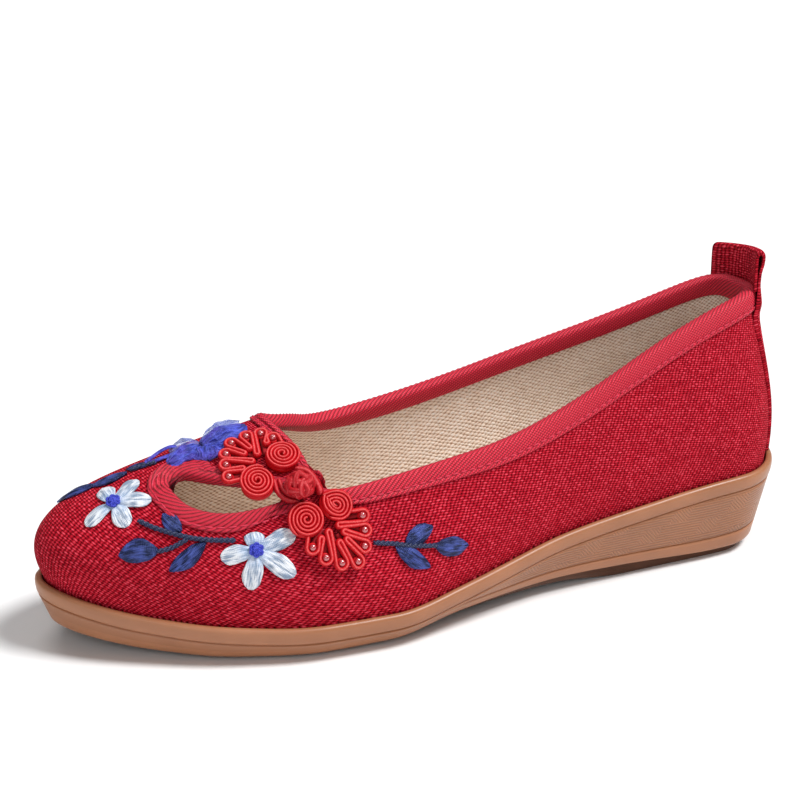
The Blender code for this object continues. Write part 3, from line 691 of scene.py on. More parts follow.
def chiffon(name, low, high, lilac, alpha):
    """Gathered, crumpled sheer cloth."""
    net = Net(name, Roughness=0.55, Sheen_Weight=0.15, Sheen_Roughness=0.4, Sheen_Tint=(0.6, 0.7, 1.0, 1.0))
    u, v = net.flat()
    gather = net.noise(u * 0.30, v * 1.5, 3.0)
    folds = net.cloud(330.0) * 0.9 + gather
    threads = net.cloud(2600.0, 1.0)
    # Painted light and shade: darker in the folds, lighter on their tops, with a fine random tone
    colour = net.mix(net.range(threads * 0.35 + folds, 0.92, 1.32), low, high)
    colour = net.mix(net.range(net.cloud(190.0), 0.42, 0.66, 0.0, 0.7), colour, lilac)
    if alpha:
        net.join(net.range(gather, 0.3, 0.7, *alpha), net.shader.inputs["Alpha"])
    return net.finish(colour, net.bump(folds, 1.5))


def gum(name, low=(0.335, 0.134, 0.060), high=(0.40, 0.167, 0.078), hatched=False):
    """Moulded rubber, with fine ribs and hatched patches among them round the heel wedge."""
    net = Net(name, Specular_IOR_Level=0.5, Subsurface_Weight=0.08, Subsurface_Radius=(1.0, 0.5, 0.25),
              Subsurface_Scale=0.0012)
    mould = net.cloud(60.0)
    colour = net.mix(net.range(mould, 0.3, 0.7), low, high)
    grain = net.bump(net.cloud(1500.0, 2.0), 0.01 if hatched else 0.03)
    if hatched:
        u, v = net.flat()
        ribs = net.sine(v * (TAU / HATCH_RIB))
        cross = net.sine((v * -0.95 + u) * (TAU / HATCH_DIAGONAL))
        patches = []
        for k in (0.0, 0.5):
            b = net.math("FRACT", v / HATCH_ROWS + (k + 0.5 - HATCH_MIDDLE / HATCH_ROWS)) - 0.5
            lean = b * (0.45 * HATCH_ROWS) + u
            a = net.math("FRACT", lean / HATCH_PERIOD + (k + 0.5 - HATCH_FIRST / HATCH_PERIOD)) - 0.5
            inside_a = net.within(a, HATCH_WIDE / HATCH_PERIOD / 2)
            patches.append(inside_a * net.within(b, HATCH_HIGH / HATCH_ROWS / 2))
        patch = net.math("MAXIMUM", *patches)
        relief = patch * (cross * 0.9 + 0.5) + (patch * -1.0 + 1.0) * (ribs * 0.55)
        x = net.node("SeparateXYZ", {0: net.place()})
        relief = relief * net.range(x, 0.008, 0.020)
        # Painted shade: the grooves of the ribs and patches are darkened
        colour = net.mix(net.range(relief, -0.55, 0.25, 0.65, 0.0), colour, HATCH_GROOVE_SHADE)
        grain = net.bump(relief, 0.10, grain)
    return net.finish(colour, grain, net.range(mould, 0.3, 0.7, 0.34, 0.46))


# Woven cloth: thread colour, colour of the painted highlight on the thread tops, colour of the painted shade
# between the threads
RED = woven("canvas_red", (0.51, 0.008, 0.023), (0.92, 0.095, 0.145), (0.100, 0.000, 0.003),
            1.55, 0.80, 0.34, 0.28, 0.07)
LINEN = woven("linen_beige", (0.98, 0.84, 0.71), (1.0, 0.95, 0.89), (0.42, 0.255, 0.16),
              1.36, 1.30, 0.24, 0.5, 0.2)
# Tape: colours of the painted shade between the ribs, of the lit crests, and of the painted highlight on them
TWILL = twill("twill_red", (0.16, 0.000, 0.005), (0.68, 0.006, 0.030), (0.92, 0.070, 0.145))
# Satin cords: own colour, then the colour of the painted highlight along their tops
CORD = satin_cord("cord_red", (0.56, 0.004, 0.010), (0.82, 0.120, 0.120))
# The knot's cord: a darker copy of the cord colours, painted shade
KNOT_CORD = satin_cord("cord_knotted_shaded", (0.42, 0.003, 0.010), (0.68, 0.065, 0.075))
# Ribbons: lit colour, colour of the painted shade, colour of the painted shade at the base, and the range of
# the painted streaks
WHITE = ribbon("ribbon_white", (0.84, 0.87, 0.92), (0.23, 0.31, 0.44), (0.26, 0.44, 0.74), (0.40, 0.58),
               Roughness=0.36, Sheen_Weight=0.1, Sheen_Roughness=0.3)
NAVY = ribbon("ribbon_navy", (0.072, 0.105, 0.40), (0.003, 0.005, 0.030), (0.002, 0.004, 0.022), (0.42, 0.66),
              Roughness=0.33, Specular_IOR_Level=0.6, Specular_Tint=(0.40, 0.52, 1.0, 1.0))
STEM = twisted("cord_navy", (0.004, 0.007, 0.032), (0.035, 0.055, 0.16), 0.5)
HEART = twisted("yarn_blue", (0.010, 0.016, 0.36), (0.07, 0.10, 0.70), 0.6)
YARN = twisted("yarn_red", (0.36, 0.003, 0.008), (0.60, 0.020, 0.030), 0.7)
# Darker red for the backing under the cords: painted shade between them
BACKING_SHADE = Net("backing_red_painted_shade", Base_Color=(0.32, 0.003, 0.009, 1.0), Roughness=0.9).finish()
CHIFFON_BODY = chiffon("chiffon_blue", (0.004, 0.008, 0.22), (0.085, 0.120, 0.76), (0.085, 0.038, 0.40), None)
CHIFFON_VEIL = chiffon("chiffon_veil", (0.05, 0.09, 0.60), (0.40, 0.48, 0.86), (0.30, 0.36, 0.80),
                       (0.62, 0.30))
GUM = gum("gum_rubber")
GUM_WALL = gum("gum_hatched", hatched=True)
# The tread's side and bottom: a darker copy of the gum, painted shade of the shadow under the sole
GUM_TREAD_SHADED = gum("gum_tread_painted_shade", (0.095, 0.038, 0.020), (0.120, 0.050, 0.027))
BEAD = Net("bead_red", Base_Color=(0.42, 0.014, 0.024, 1.0), Roughness=0.3, Coat_Weight=1.0,
           Coat_Roughness=0.18, Coat_IOR=2.2).finish()
THREAD = Net("thread_red", Base_Color=(0.60, 0.020, 0.060, 1.0), Roughness=0.5).finish()


# Flat pattern of the canvas, cut at the heel seam, so that the weave lies as on cut cloth
def cloth_pattern(stations=160, rows=22):
    s = np.linspace(0, 2, stations + 1)
    t = np.linspace(0, 1, rows)
    p = canvas(*np.meshgrid(np.r_[s[:-1], 2 - 1e-9], t, indexing="ij"))
    b = Batch()
    b.grid(p, spread(s, t))
    obj = b.make("pattern", [])
    bpy.context.view_layer.objects.active = obj
    obj.select_set(True)
    bpy.ops.object.mode_set(mode="EDIT")
    bpy.ops.mesh.select_all(action="SELECT")
    bpy.ops.uv.unwrap(method="MINIMUM_STRETCH", margin=0.0, correct_aspect=False)
    bpy.ops.object.mode_set(mode="OBJECT")
    mesh = obj.data
    uv = np.empty(2 * len(mesh.loops))
    vertex = np.empty(len(mesh.loops), int)
    mesh.uv_layers["flat"].data.foreach_get("uv", uv)
    mesh.loops.foreach_get("vertex_index", vertex)
    flat = np.empty((len(p.reshape(-1, 3)), 2))
    flat[vertex] = uv.reshape(-1, 2)
    bpy.data.objects.remove(obj, do_unlink=True)
    flat = flat.reshape(stations + 1, rows, 2)
    true = np.linalg.norm(np.diff(p, axis=1), axis=2).sum()
    flat = flat * true / np.linalg.norm(np.diff(flat, axis=1), axis=2).sum()
    way = unit(flat[stations // 2, -1] - flat[stations // 2, 0])
    along, up = flat @ (-way[1], way[0]), flat @ way
    toe = along[stations // 2].mean()
    away = np.abs(along - toe)
    reach = np.arange(0.0, away.max() + 2.0)
    rise = np.interp(away, reach, np.cumsum(np.interp(reach, GRAIN[:, 0], GRAIN[:, 1])))
    lean = np.interp(away, GRAIN[:, 0], GRAIN[:, 2])
    along = toe + np.sign(along - toe) * (away - lean * (up - up.mean()))
    flat = np.stack([along, up + rise], -1)
    short = 1e-6

    def at(s, t):
        x = np.clip(s / 2 * stations, 0, stations - short)
        return between(flat, x, np.clip(t * (rows - 1), 0, rows - 1 - short))
    return at


def cutout_loop(count, columns=slice(0, 2)):
    turn = lengths(np.r_[CUTOUT, CUTOUT[:1]][:, :2])
    return looped(turn[:-1], CUTOUT[:, columns], turn[-1], np.linspace(0, turn[-1], count, endpoint=False))


def cutout_away(ab):
    d = unit(np.roll(ab, -1, 0) - np.roll(ab, 1, 0))
    return np.c_[d[:, 1], -d[:, 0]]


def inside(ab, ring):
    """Which points lie inside a closed ring."""
    x, y = ab[:, :1], ab[:, 1:]
    x0, y0 = ring.T
    x1, y1 = np.roll(ring, -1, 0).T
    crosses = (y0 > y) != (y1 > y)
    where = x0 + (y - y0) * (x1 - x0) / np.where(y1 == y0, 1e-9, y1 - y0)
    return (crosses & (x < where)).sum(1) % 2 == 1


# Canvas with its lining: fine skin, the cut-out's hole, then the wall
def make_upper(pattern):
    stations, rows = 440, 60
    s = np.linspace(0, 2, stations + 1)
    share = np.linspace(0, 1, rows)
    sg = np.broadcast_to(s[:, None], (stations + 1, rows))
    tg = EDGE_CHART(s, CANVAS_SHORT)[:, None] * share
    p = canvas(sg, tg)
    n = canvas_out(sg, np.clip(tg, 0.001, 0.999))
    soft = np.sin(np.pi * share) ** 1.5
    swell = 0.16 * soft * np.sin(sg * 17 + 2.0 * tg) * np.sin(tg * 7.0 + sg * 5.0)
    p = p + n * swell[..., None]
    p = np.concatenate([p[:, :1] - (0, 0, FOOT), p], 1)[:-1]
    cloth = pattern(sg, tg)
    p0, n0, e1, e2 = touch(CUTOUT_AT)
    loop = cutout_loop(160)
    ring = loop + cutout_away(loop) * CUTOUT_SHORT
    q = p.reshape(-1, 3) - p0
    ab = np.c_[q @ e1, q @ e2]
    near = (np.abs(q @ n0) < 14) & (np.linalg.norm(ab, axis=1) < 40)
    hole = np.zeros(len(q), bool)
    hole[near] = inside(ab[near], ring)
    b = Batch()
    b.grid(p, np.concatenate([cloth[:, :1], cloth], 1), True)
    index = b.loops[0].reshape(-1, 4)
    keep = ~hole[index].all(1)
    used = np.unique(index[keep])
    rim = used[hole[used]]
    pick = np.linalg.norm(ab[rim][:, None] - ring[None], axis=2).argmin(1)
    b.points[0][rim] = lay(CUTOUT_AT, ring[pick])[0]
    b.loops[0] = index[keep].ravel()
    b.sizes[0] = b.sizes[0][keep]
    b.slots[0] = b.slots[0][keep]
    b.flats[0] = b.flats[0].reshape(-1, 4, 2)[keep].reshape(-1, 2)
    obj = b.make("canvas_upper", [RED, LINEN], turn=False)
    bm = bmesh.new()
    bm.from_mesh(obj.data)
    bmesh.ops.delete(bm, geom=[v for v in bm.verts if not v.link_faces], context="VERTS")
    bm.to_mesh(obj.data)
    bm.free()
    wall = obj.modifiers.new("wall", "SOLIDIFY")
    wall.thickness = WALL * MM
    wall.offset = -1.0
    wall.material_offset = 1
    dress(obj, "canvas", "upper")


# Folded twill tape over an edge: distance from the fold and height over the canvas, round the section
def tape_section(leg, under):
    inner = -WALL - under
    short = leg - 0.5
    shape = [
        (leg, 0.30), (leg, 0.62), (leg - 0.25, 0.86), (leg - 0.8, 0.92), (leg - 1.25, 0.74),
        (leg - 1.45, 0.64), (leg - 1.65, 0.78), (leg - 2.1, 0.98), (leg * 0.55, 1.08), (leg * 0.36, 1.10),
        (1.2, 1.05), (0.62, 0.82), (0.22, 0.36), (0.0, -0.4), (0.0, -1.3), (0.08, -2.0),
        (0.3, inner - 0.3), (0.8, inner - 0.72), (1.6, inner - 0.85), (short * 0.6, inner - 0.85),
        (short - 0.4, inner - 0.8), (short, inner - 0.6), (short, inner), (1.3, inner), (1.3, 0.3),
    ]
    d, h = (np.stack([np.broadcast_to(row[k], leg.shape) for row in shape], 1) for k in (0, 1))
    rib = np.array([0, 0, 0.2, 0.3, 0.2, 0, 0.2, 0.8] + [1] * 10 + [0.8, 0.8, 0.5, 0, 0, 0, 0])
    return d, h, rib


def across_tape(d, h):
    """Distance across the tape from its fold, less than nothing on the inside."""
    step = np.hypot(np.diff(d, axis=1), np.diff(h, axis=1))
    run = np.c_[np.zeros(len(d)), np.cumsum(step, 1)]
    return run[:, FOLD:FOLD + 1] - run


def make_tape(name, total, place, width, under, turn, calm, node):
    """place gives points at a run along the edge, a distance from the fold and a height."""
    ribs = int(round(total / RIB_PITCH))
    rows = ribs * RIB_STEPS
    run = np.arange(rows) * total / rows
    d, h, rib = tape_section(width(run), under)
    v = across_tape(d, h)
    crest = np.abs(np.sin(np.pi * np.arange(rows) / RIB_STEPS)) ** 0.8 - 0.5
    lift = RIB_HIGH * crest[:, None] * rib * calm(run)[:, None]
    out = unit(np.stack([np.gradient(h, axis=1), -np.gradient(d, axis=1)], -1))
    # The hidden points inside the fold lean as the outer points beside them do
    lean = v.copy()
    lean[:, -3:] = np.stack([v[:, -4], v[:, 17], v[:, 10]], 1)
    slant = run[:, None] + turn * RIB_SLOPE * lean
    points = place(slant % total, d - out[..., 0] * lift, h - out[..., 1] * lift)
    u = np.append(run, total)[:, None] * RIB_PITCH / (total / ribs)
    v = np.r_[v, v[:1]]
    flat = np.stack([u + RIB_SLOPE * v, v], -1)
    b = Batch()
    b.grid(points, np.concatenate([flat, flat[:, :1]], 1), True, True)
    dress(b.make(name, [TWILL]), "twill_tape", node)


def stitches(batch, total, place, width):
    """Row of stitches sunk along the tape's lower edge."""
    points = 6
    arch = 0.80 + 0.14 * np.cos(np.linspace(-1.4, 1.4, points))
    for k in range(int(total / STITCH_PITCH)):
        run = (k * STITCH_PITCH + np.linspace(-0.5, 0.5, points) * STITCH_LONG) % total
        d = width(run) - STITCH_IN
        p, q = (place(run[:, None], d[:, None], arch[:, None] + up)[:, 0] for up in (0.0, 1.0))
        tube(batch, p, q - p, 0.24, 0.2, 6, ends=2)


def make_tapes():
    count = 801
    fine = np.linspace(0, 2, count)
    edge_run = lengths(canvas(fine, np.ones(count)))
    total = edge_run[-1]

    def collar_place(run, d, h):
        s = np.broadcast_to(np.interp(run, edge_run, fine), np.shape(d))
        t = EDGE_CHART(s, d)
        return canvas(s, t) + canvas_out(s, np.minimum(t, 0.998)) * np.asarray(h)[..., None]

    def collar_width(run):
        return looped(TAPE[:, 0], TAPE[:, 1], 2.0, np.interp(run, edge_run, fine))

    def collar_calm(run):
        return 1 - 0.8 * np.exp(-((np.interp(run, edge_run, fine) - 1.04) / 0.10) ** 2)

    loop = cutout_loop(400)
    away = cutout_away(loop)
    wide = cutout_loop(400, slice(2, 3))[:, 0]
    loop_run = lengths(np.r_[loop, loop[:1]])

    def round_loop(values, run):
        return np.interp(run, loop_run, np.append(values, values[0]))

    def cutout_place(run, d, h):
        run = np.broadcast_to(run, np.shape(d))
        middle, aside = (np.stack([round_loop(c[:, k], run) for k in (0, 1)], -1) for c in (loop, away))
        p, n = lay(CUTOUT_AT, (middle + aside * d[..., None]).reshape(-1, 2))
        return (p + n * np.reshape(h, (-1, 1))).reshape(*np.shape(d), 3)

    def cutout_width(run):
        return round_loop(wide, run)

    make_tape("tape_collar", total, collar_place, collar_width, 0.5, 1, collar_calm, "binding_collar")
    around = loop_run[-1]
    make_tape("tape_cutout", around, cutout_place, cutout_width, 0.2, -1, np.ones_like, "binding_cutout")
    b = Batch()
    stitches(b, total, collar_place, collar_width)
    stitches(b, around, cutout_place, cutout_width)
    dress(b.make("tape_stitches", [THREAD]), "twill_tape")


# Sole: rings from the platform over the lip and down the wall, then the tread
def make_sole():
    stations = 640
    s = np.linspace(0, 2, stations, endpoint=False)
    line = feather(s)
    out = feather_out(s)
    fore = np.clip(-out[:, 0], 0, 1) ** 2
    aft = np.clip(out[:, 0], 0, 1) ** 2
    lip = 2.6
    x = line[:, 0]
    rim, edge, tread, band = (side(x, c) for c in (RIM, EDGE, TREAD, BAND))
    low = edge + band
    top = rim - 5.6
    shoulder = 1.8
    groove = 0.5 * np.clip((x - 104.0) / 14.0, 0, 1)
    base = lip - (4.9 + 1.1 * aft - 0.7 * fore)
    ledge = base - 3.2

    def wall(z):
        share = np.clip((top - z) / (top - edge), 0, 1)
        return shoulder + (base - shoulder) * share

    rings = [(0.4, rim - 3.0), (0.4, rim - 0.7), (0.55, rim - 0.25), (0.9, rim - 0.02), (1.5, rim),
             (2.1, rim - 0.22), (2.48, rim - 0.7), (2.6, rim - 1.4), (2.55, rim - 2.6), (2.35, rim - 3.8),
             (2.1, rim - 4.55), (1.75, rim - 4.95), (1.3, rim - 5.1), (1.3, rim - 5.22), (1.62, rim - 5.42)]
    first_wall = len(rings)
    for share in np.linspace(0, 1, 9):
        z = top + (low + 0.45 - top) * share
        rings.append((wall(z), z))
    last_wall = len(rings) - 1
    rings += [(wall(low + 0.2) - 0.5 * groove, low + 0.2), (wall(low) - groove, low + 0.06),
              (wall(low) - groove, low - 0.06), (wall(low - 0.2) - 0.5 * groove, low - 0.2),
              (wall(low - 0.45), low - 0.45)]
    for share in (0.35, 0.7, 1.0):
        z = low - 0.45 + (edge + 0.9 - low + 0.45) * share
        rings.append((wall(z), z))
    rings += [(base - 0.12, edge + 0.4), (base - 0.5, edge + 0.08), (base - 1.0, edge)]
    first_tread = len(rings)
    rings += [(ledge + 0.3, edge + 0.1), (ledge, edge + 0.25), (ledge - 0.1, np.minimum(tread + 0.4, edge)),
              (ledge - 0.3, np.minimum(tread + 0.1, edge)), (ledge - 0.8, tread)]
    one = np.ones(stations)
    p = np.stack([np.c_[line + out * np.reshape(o * one, (-1, 1)), z * one] for o, z in rings])
    run = lengths(np.r_[line, line[:1]])
    above = p[..., 2] - low
    from_heel = np.minimum(run, run[-1] - run)
    flat = np.stack(np.broadcast_arrays(from_heel[None], np.c_[above, above[:, :1]]), -1)
    b = Batch()
    ends = (0, first_wall, last_wall, first_tread, len(rings) - 1)
    # The tread rings and the bottom lid take the darker gum, painted shade under the sole
    for first, last, slot in zip(ends[:-1], ends[1:], (0, 1, 0, 2)):
        b.grid(p[first:last + 1], flat[first:last + 1], False, True, slot=slot)
    b.lid(p[-1], 49, 2, tread_depth)
    b.lid(p[0], 5)
    dress(b.make("sole", [GUM, GUM_WALL, GUM_TREAD_SHADED], weld=True), "gum_sole", "outsole")


def tread_depth(q, share):
    """Wavy grooves across the heel and forefoot pads."""
    x, y = q[..., 0], q[..., 1]
    wave = (x + 2.2 * np.sin(y * TAU / 19.0)) / 6.2
    groove = np.clip((np.abs((wave % 1) - 0.5) - 0.30) / 0.10, 0, 1)
    pads = sum(np.clip((x - a) / 3, 0, 1) * np.clip((b - x) / 3, 0, 1) for a, b in ((22, 104), (172, 232)))
    margin = np.clip((0.5 - np.abs(share - 0.5)) / 0.06 - 0.4, 0, 1)
    return 0.9 * groove * pads * margin


def make_footbed():
    s = np.linspace(0, 2, 320, endpoint=False)
    out = feather_out(s)
    ring = feather(s) - out * (WALL + 0.5)
    z = side(ring[:, 0], RIM)
    rings = [(0.0, -2.7), (0.0, -0.4), (0.12, 0.0), (0.45, 0.32), (0.9, 0.42), (1.7, 0.30), (2.2, 0.42),
             (3.2, 0.6)]
    p = np.stack([np.c_[ring - out * o, z + h] for o, h in rings])
    flat = p[..., :2]
    b = Batch()
    b.grid(p, np.concatenate([flat, flat[:, :1]], 1), False, True)
    b.lid(p[-1], 17)
    b.lid(p[0], 3)
    dress(b.make("footbed", [LINEN], weld=True), "linen_lining", "insole")


# Heel loop: a strip up the back seam, over a loop and down behind the collar tape
def tab_row(d, h, wide):
    """Row of the strip at a distance below the collar edge: on the canvas there, flat and upright above."""
    around = np.linspace(-TAB_TURNS, TAB_TURNS, 61)
    t = np.minimum(HEEL_CHART(around, max(d, 0.0)), 0.998)
    y = (canvas(around, t) + canvas_out(around, t) * h)[:, 1]
    s = np.interp(wide * TAB_HALF, y[::-1], around[::-1])
    t = HEEL_CHART(s, max(d, 0.0))
    p = canvas(s, t) + canvas_out(s, np.minimum(t, 0.998)) * (h - 0.35 * np.abs(wide) ** 6)[:, None]
    flat = np.clip(1 - d / TAB_LEAVES, 0, 1)
    flat = flat * flat * (3 - 2 * flat)
    stiff = np.stack([TAB_FLAT_X + TAB_BOW * (1 - wide ** 2) + h, TAB_HALF * wide + TAB_ASIDE,
                      TAB_TOP_Z - d - TAB_TILT * wide], -1)
    return p + (stiff - p) * flat


def make_loop():
    collar = GAP + 0.8 + 0.5 + TAB_THICK / 2
    close = collar + TAB_THICK
    outer = close + 1.4
    top = -TAB_ABOVE + 1.6
    path = [(2.0, collar), (0.0, collar), (top * 0.6, collar), (top, collar + 0.1), (top - 0.9, collar + 0.5),
            (top - 1.2, (collar + outer) / 2), (top - 0.9, outer - 0.5), (top, outer - 0.1),
            (top * 0.72, outer - 0.3), (top * 0.4, close + 0.3), (0.0, close + 0.05), (2.2, close - 0.1),
            (4.6, 2.7), (7.0, 1.95), (9.0, 1.25), (11.5, 0.9), (15.0, 0.85), (27.0, 0.85), (37.0, 0.85),
            (47.0, 0.85), (57.6, 0.85)]
    path = through(path, 0.9)
    step = unit(np.gradient(path, axis=0))
    normal = np.c_[step[:, 1], -step[:, 0]]
    even = np.linspace(-1, 1, 21)
    wide = np.sin(even * np.pi / 2)
    half = TAB_THICK / 2
    sheets = [np.stack([tab_row(d, h, wide) for d, h in path + normal * k]) for k in (half, -half)]
    middle = (sheets[0] + sheets[1]) / 2
    round_off = np.sqrt(np.clip(1 - np.abs(even) ** 10 * 0.8, 0, 1))[None, :, None]
    near, far = (middle + (sheet - middle) * round_off for sheet in sheets)
    flat = spread(lengths(path), np.r_[wide, wide[::-1], wide[:1]] * TAB_HALF)[..., ::-1]
    b = Batch()
    b.grid(np.concatenate([near, far[:, ::-1]], 1), flat, False, True, True)
    dress(b.make("heel_loop", [RED]), "canvas", "pull_tab")


# Knotted cord: spirals wound on edge, a fan of loops with a bead in each, and a pad below
def serpentine(circles, first, step):
    """Line that winds round circles (along, across, radius), turning the other way at each next one."""
    c = np.array(circles, float)
    turn = first * (-1.0) ** np.arange(len(c))
    d = np.diff(c[:, :2], axis=0)
    apart = np.linalg.norm(d, axis=1)
    head = np.arctan2(d[:, 1], d[:, 0]) + np.arcsin(turn[:-1] * (c[:-1, 2] + c[1:, 2]) / apart)
    points = []
    for k, (a, b, r) in enumerate(c):
        come, go = head[max(k - 1, 0)], head[min(k, len(head) - 1)]
        swing = turn[k] * ((turn[k] * (go - come)) % TAU)
        q = come + swing * np.linspace(0, 1, max(1, int(abs(swing) * r / step)) + (r > 0))
        points.append(np.c_[a + turn[k] * r * np.sin(q), b - turn[k] * r * np.cos(q)])
    p = np.concatenate(points)
    run = lengths(p)
    even = np.linspace(0, run[-1], int(run[-1] / step))
    return np.c_[np.interp(even, run, p[:, 0]), np.interp(even, run, p[:, 1])]


def cord_half(name, spec, node, start):
    at, spirals, beads, bends, first, last = spec
    b = Batch()
    for a, c, r, turning in spirals:
        theta = np.arange(0.0, (r - 0.9) / SPIRAL_PITCH * TAU, 0.14)
        radius = 0.4 + SPIRAL_PITCH * theta / TAU
        swing = start + turning * (theta - theta[-1])
        ab = np.c_[a + radius * np.cos(swing), c + radius * np.sin(swing)]
        cord(b, at, ab, CORD_BASE + 1.05 + 0.35 * (1 - radius / r), 0.56, 1.02, 10, ends=4)
    circles = [(*first, 0.0)]
    for k, bead in enumerate(beads):
        circles.append((*bead, OUTER_BEND))
        if k < len(bends):
            circles.append((*bends[k], INNER_BEND))
    ab = serpentine(circles + [(*last, 0.0)], 1, 0.3)
    cord(b, at, ab, CORD_BASE + 0.75, 0.70, 0.95, 10, ends=4)
    p, n = lay(at, np.array(beads))
    for k in range(len(beads)):
        ball(b, p[k] + n[k] * (CORD_BASE + 0.95), np.eye(3) * 1.12, 10, 16, 1)
    pad(b, at, spirals, beads)
    dress(b.make(name, [CORD, BEAD, BACKING_SHADE]), "satin_cord", node)


def pad(batch, at, spirals, beads):
    """Low backing under the cords, down to the canvas; its strokes take the darker backing colour, painted
    shade where they show between the cords.
    """
    for a, c, r, turning in spirals:
        disc(batch, at, (a, c), r - 0.5)
    for bead in beads:
        disc(batch, at, bead, 1.4)
        # Strokes to the beads in the darker backing colour, painted shade between the fan's cords
        cord(batch, at, np.linspace(0.35, 0.95, 8)[:, None] * bead, 0.85, 0.8, 0.7, 6, 2)


def disc(batch, at, middle, r):
    sides = 28
    turn = np.arange(sides) * TAU / sides
    ring = np.c_[np.cos(turn), np.sin(turn)]
    rows = []
    for share, h in ((0.5, 0.2), (1.0, 0.2), (1.0, CORD_BASE + 0.6), (0.5, CORD_BASE + 0.8)):
        p, n = lay(at, np.array(middle) + ring * r * share)
        rows.append(p + n * h)
    # Flat 0.75 gives the discs the cord's own colour, clear of its painted highlight
    batch.grid(np.stack(rows), spread(np.zeros(4), np.full(sides + 1, 0.75)), False, True, True)


def make_knot():
    p0, n0, e1, e2 = touch(KNOT_AT)
    foot, up = lay(KNOT_AT, np.array([KNOT_SHIFT]))
    middle = foot[0] + up[0] * (CORD_BASE + 0.3 + KNOT[2])
    axes = np.stack([e1 * KNOT[0], e2 * KNOT[1], n0 * KNOT[2]])
    b = Batch()
    t = np.linspace(0, TAU, 60, endpoint=False)
    c, q = np.cos(KNOT_LEAN), np.sin(KNOT_LEAN)
    lean = np.array([[c, -q, 0], [q, c, 0], [0, 0, 1]]) @ np.array([[1, 0, 0], [0, c, -q], [0, q, c]])
    for k in range(3):
        for j, shift in enumerate(KNOT_RINGS):
            high = np.sqrt(1 - shift * shift) * (0.79 + 0.13 * np.cos(2 * t + np.pi * (j + k)))
            ring = np.stack([np.full(len(t), shift * 0.86), high * np.cos(t), high * np.sin(t)], -1)
            path = middle + np.roll(ring, k, 1) @ lean @ axes
            tube(b, path, unit(path - middle), 0.98, 0.80, 10, 0, closed=True)
    ball(b, middle, axes * 0.78, 10, 20, 1)
    for points, r in KNOT_CORDS:
        cord(b, KNOT_AT, through(points, 0.45), CORD_BASE + 0.8 * r, r, 1.1 * r, 10, ends=3)
    # The knot's strands take the darker copy of the cord, painted shade
    dress(b.make("cord_knot", [KNOT_CORD, YARN]), "satin_cord", "frog_knot")


# Ribbon petals and leaves: closed pillows laid on the canvas
def spine(base, tip):
    """Base, direction, direction aside and length of a petal."""
    base, tip = np.array(base, float), np.array(tip, float)
    way = unit(tip - base)
    return base, way, np.array([-way[1], way[0]]), np.linalg.norm(tip - base)


def pillow(batch, at, ab, high, low, run, across, slot):
    """Closed pillow between two heights over a grid of places on the canvas."""
    p, n = lay(at, ab.reshape(-1, 2))
    top, under = ((p + n * h.reshape(-1, 1)).reshape(*h.shape, 3) for h in (high, low))
    across = np.concatenate([across, across[:, -2:0:-1], across[:, :1]], 1)
    flat = np.stack([np.broadcast_to(run, across.shape), across], -1)
    batch.grid(np.concatenate([top, under[:, -2:0:-1]], 1), flat, False, True, True, slot)


def petal(batch, at, base, tip, half, outline, rise, bow, seed):
    base, way, aside, length = spine(base, tip)
    u = np.linspace(0, 1, 22)[:, None]
    v = np.linspace(-1, 1, 15)[None]
    w = shaped(outline[:, 0], outline[:, 1], u[:, 0])[:, None] * half
    ragged = 1 + 0.05 * np.sin(u * 9 + seed) * np.sign(v)
    middle = base + way * (u[..., None] * length) + aside * (bow * 4 * u * (1 - u))[..., None]
    ab = middle + aside * (w * v * ragged)[..., None]
    dome = rise * (0.35 + 0.65 * np.sin(np.pi * np.clip(u * 0.92 + 0.12, 0, 1)))
    gather = 0.16 * np.sin(v * 5.5 + seed + 1.6 * u) * (1 - 0.6 * u) + 0.09 * np.sin(v * 11 + 2 * seed)
    curl = 0.22 * np.abs(v) ** 3 * np.sin(u * 7 + seed)
    h = 0.22 + dome * (1 - 0.55 * np.abs(v) ** 2.5) + gather * (1 - v ** 4) + curl * (1 - u) * u * 4
    h = h - 0.55 * dome * np.exp(-((u - 0.93) / 0.05) ** 2 - (v / 0.22) ** 2)
    h = np.maximum(h, 0.30)
    pillow(batch, at, ab, h, np.full(h.shape, 0.10), u * length, w * v + seed * 10, 0)


def make_flower(name, spec, node):
    at, petals = spec
    b = Batch()
    for k, (a, c, half) in enumerate(petals):
        base = np.array([a, c]) * (0.9 / np.hypot(a, c))
        petal(b, at, base, (a, c), half, PETAL, 0.95 + 0.12 * (k % 3), 0.0, k * 1.7)
    p0, n0, e1, e2 = touch(at)
    axes = np.stack([e1, e2, n0])
    ball(b, p0 + n0 * 0.9, axes * np.array([[1.9], [1.9], [1.3]]), 9, 18, 1)
    spots = [(0.0, 0.0)] + [(np.cos(q) * 1.35, np.sin(q) * 1.35) for q in np.arange(6) * TAU / 6 + 0.3]
    t = np.linspace(0, TAU * 1.6, 34)
    for k, (a, c) in enumerate(spots):
        tilt = 0.5 * np.sin(k * 2.1)
        loop = np.c_[a + (0.32 + 0.05 * t) * np.cos(t + k), c + (0.32 + 0.05 * t) * np.sin(t + k),
                     1.9 - 0.22 * (a * a + c * c) + 0.25 * np.sin(t * 0.8 + k) + tilt * 0.2 * np.cos(t)]
        tube(b, p0 + loop @ axes, np.broadcast_to(n0, (len(t), 3)), 0.36, 0.36, 7, 1)
    dress(b.make(name, [WHITE, HEART]), "ribbon_white", node)


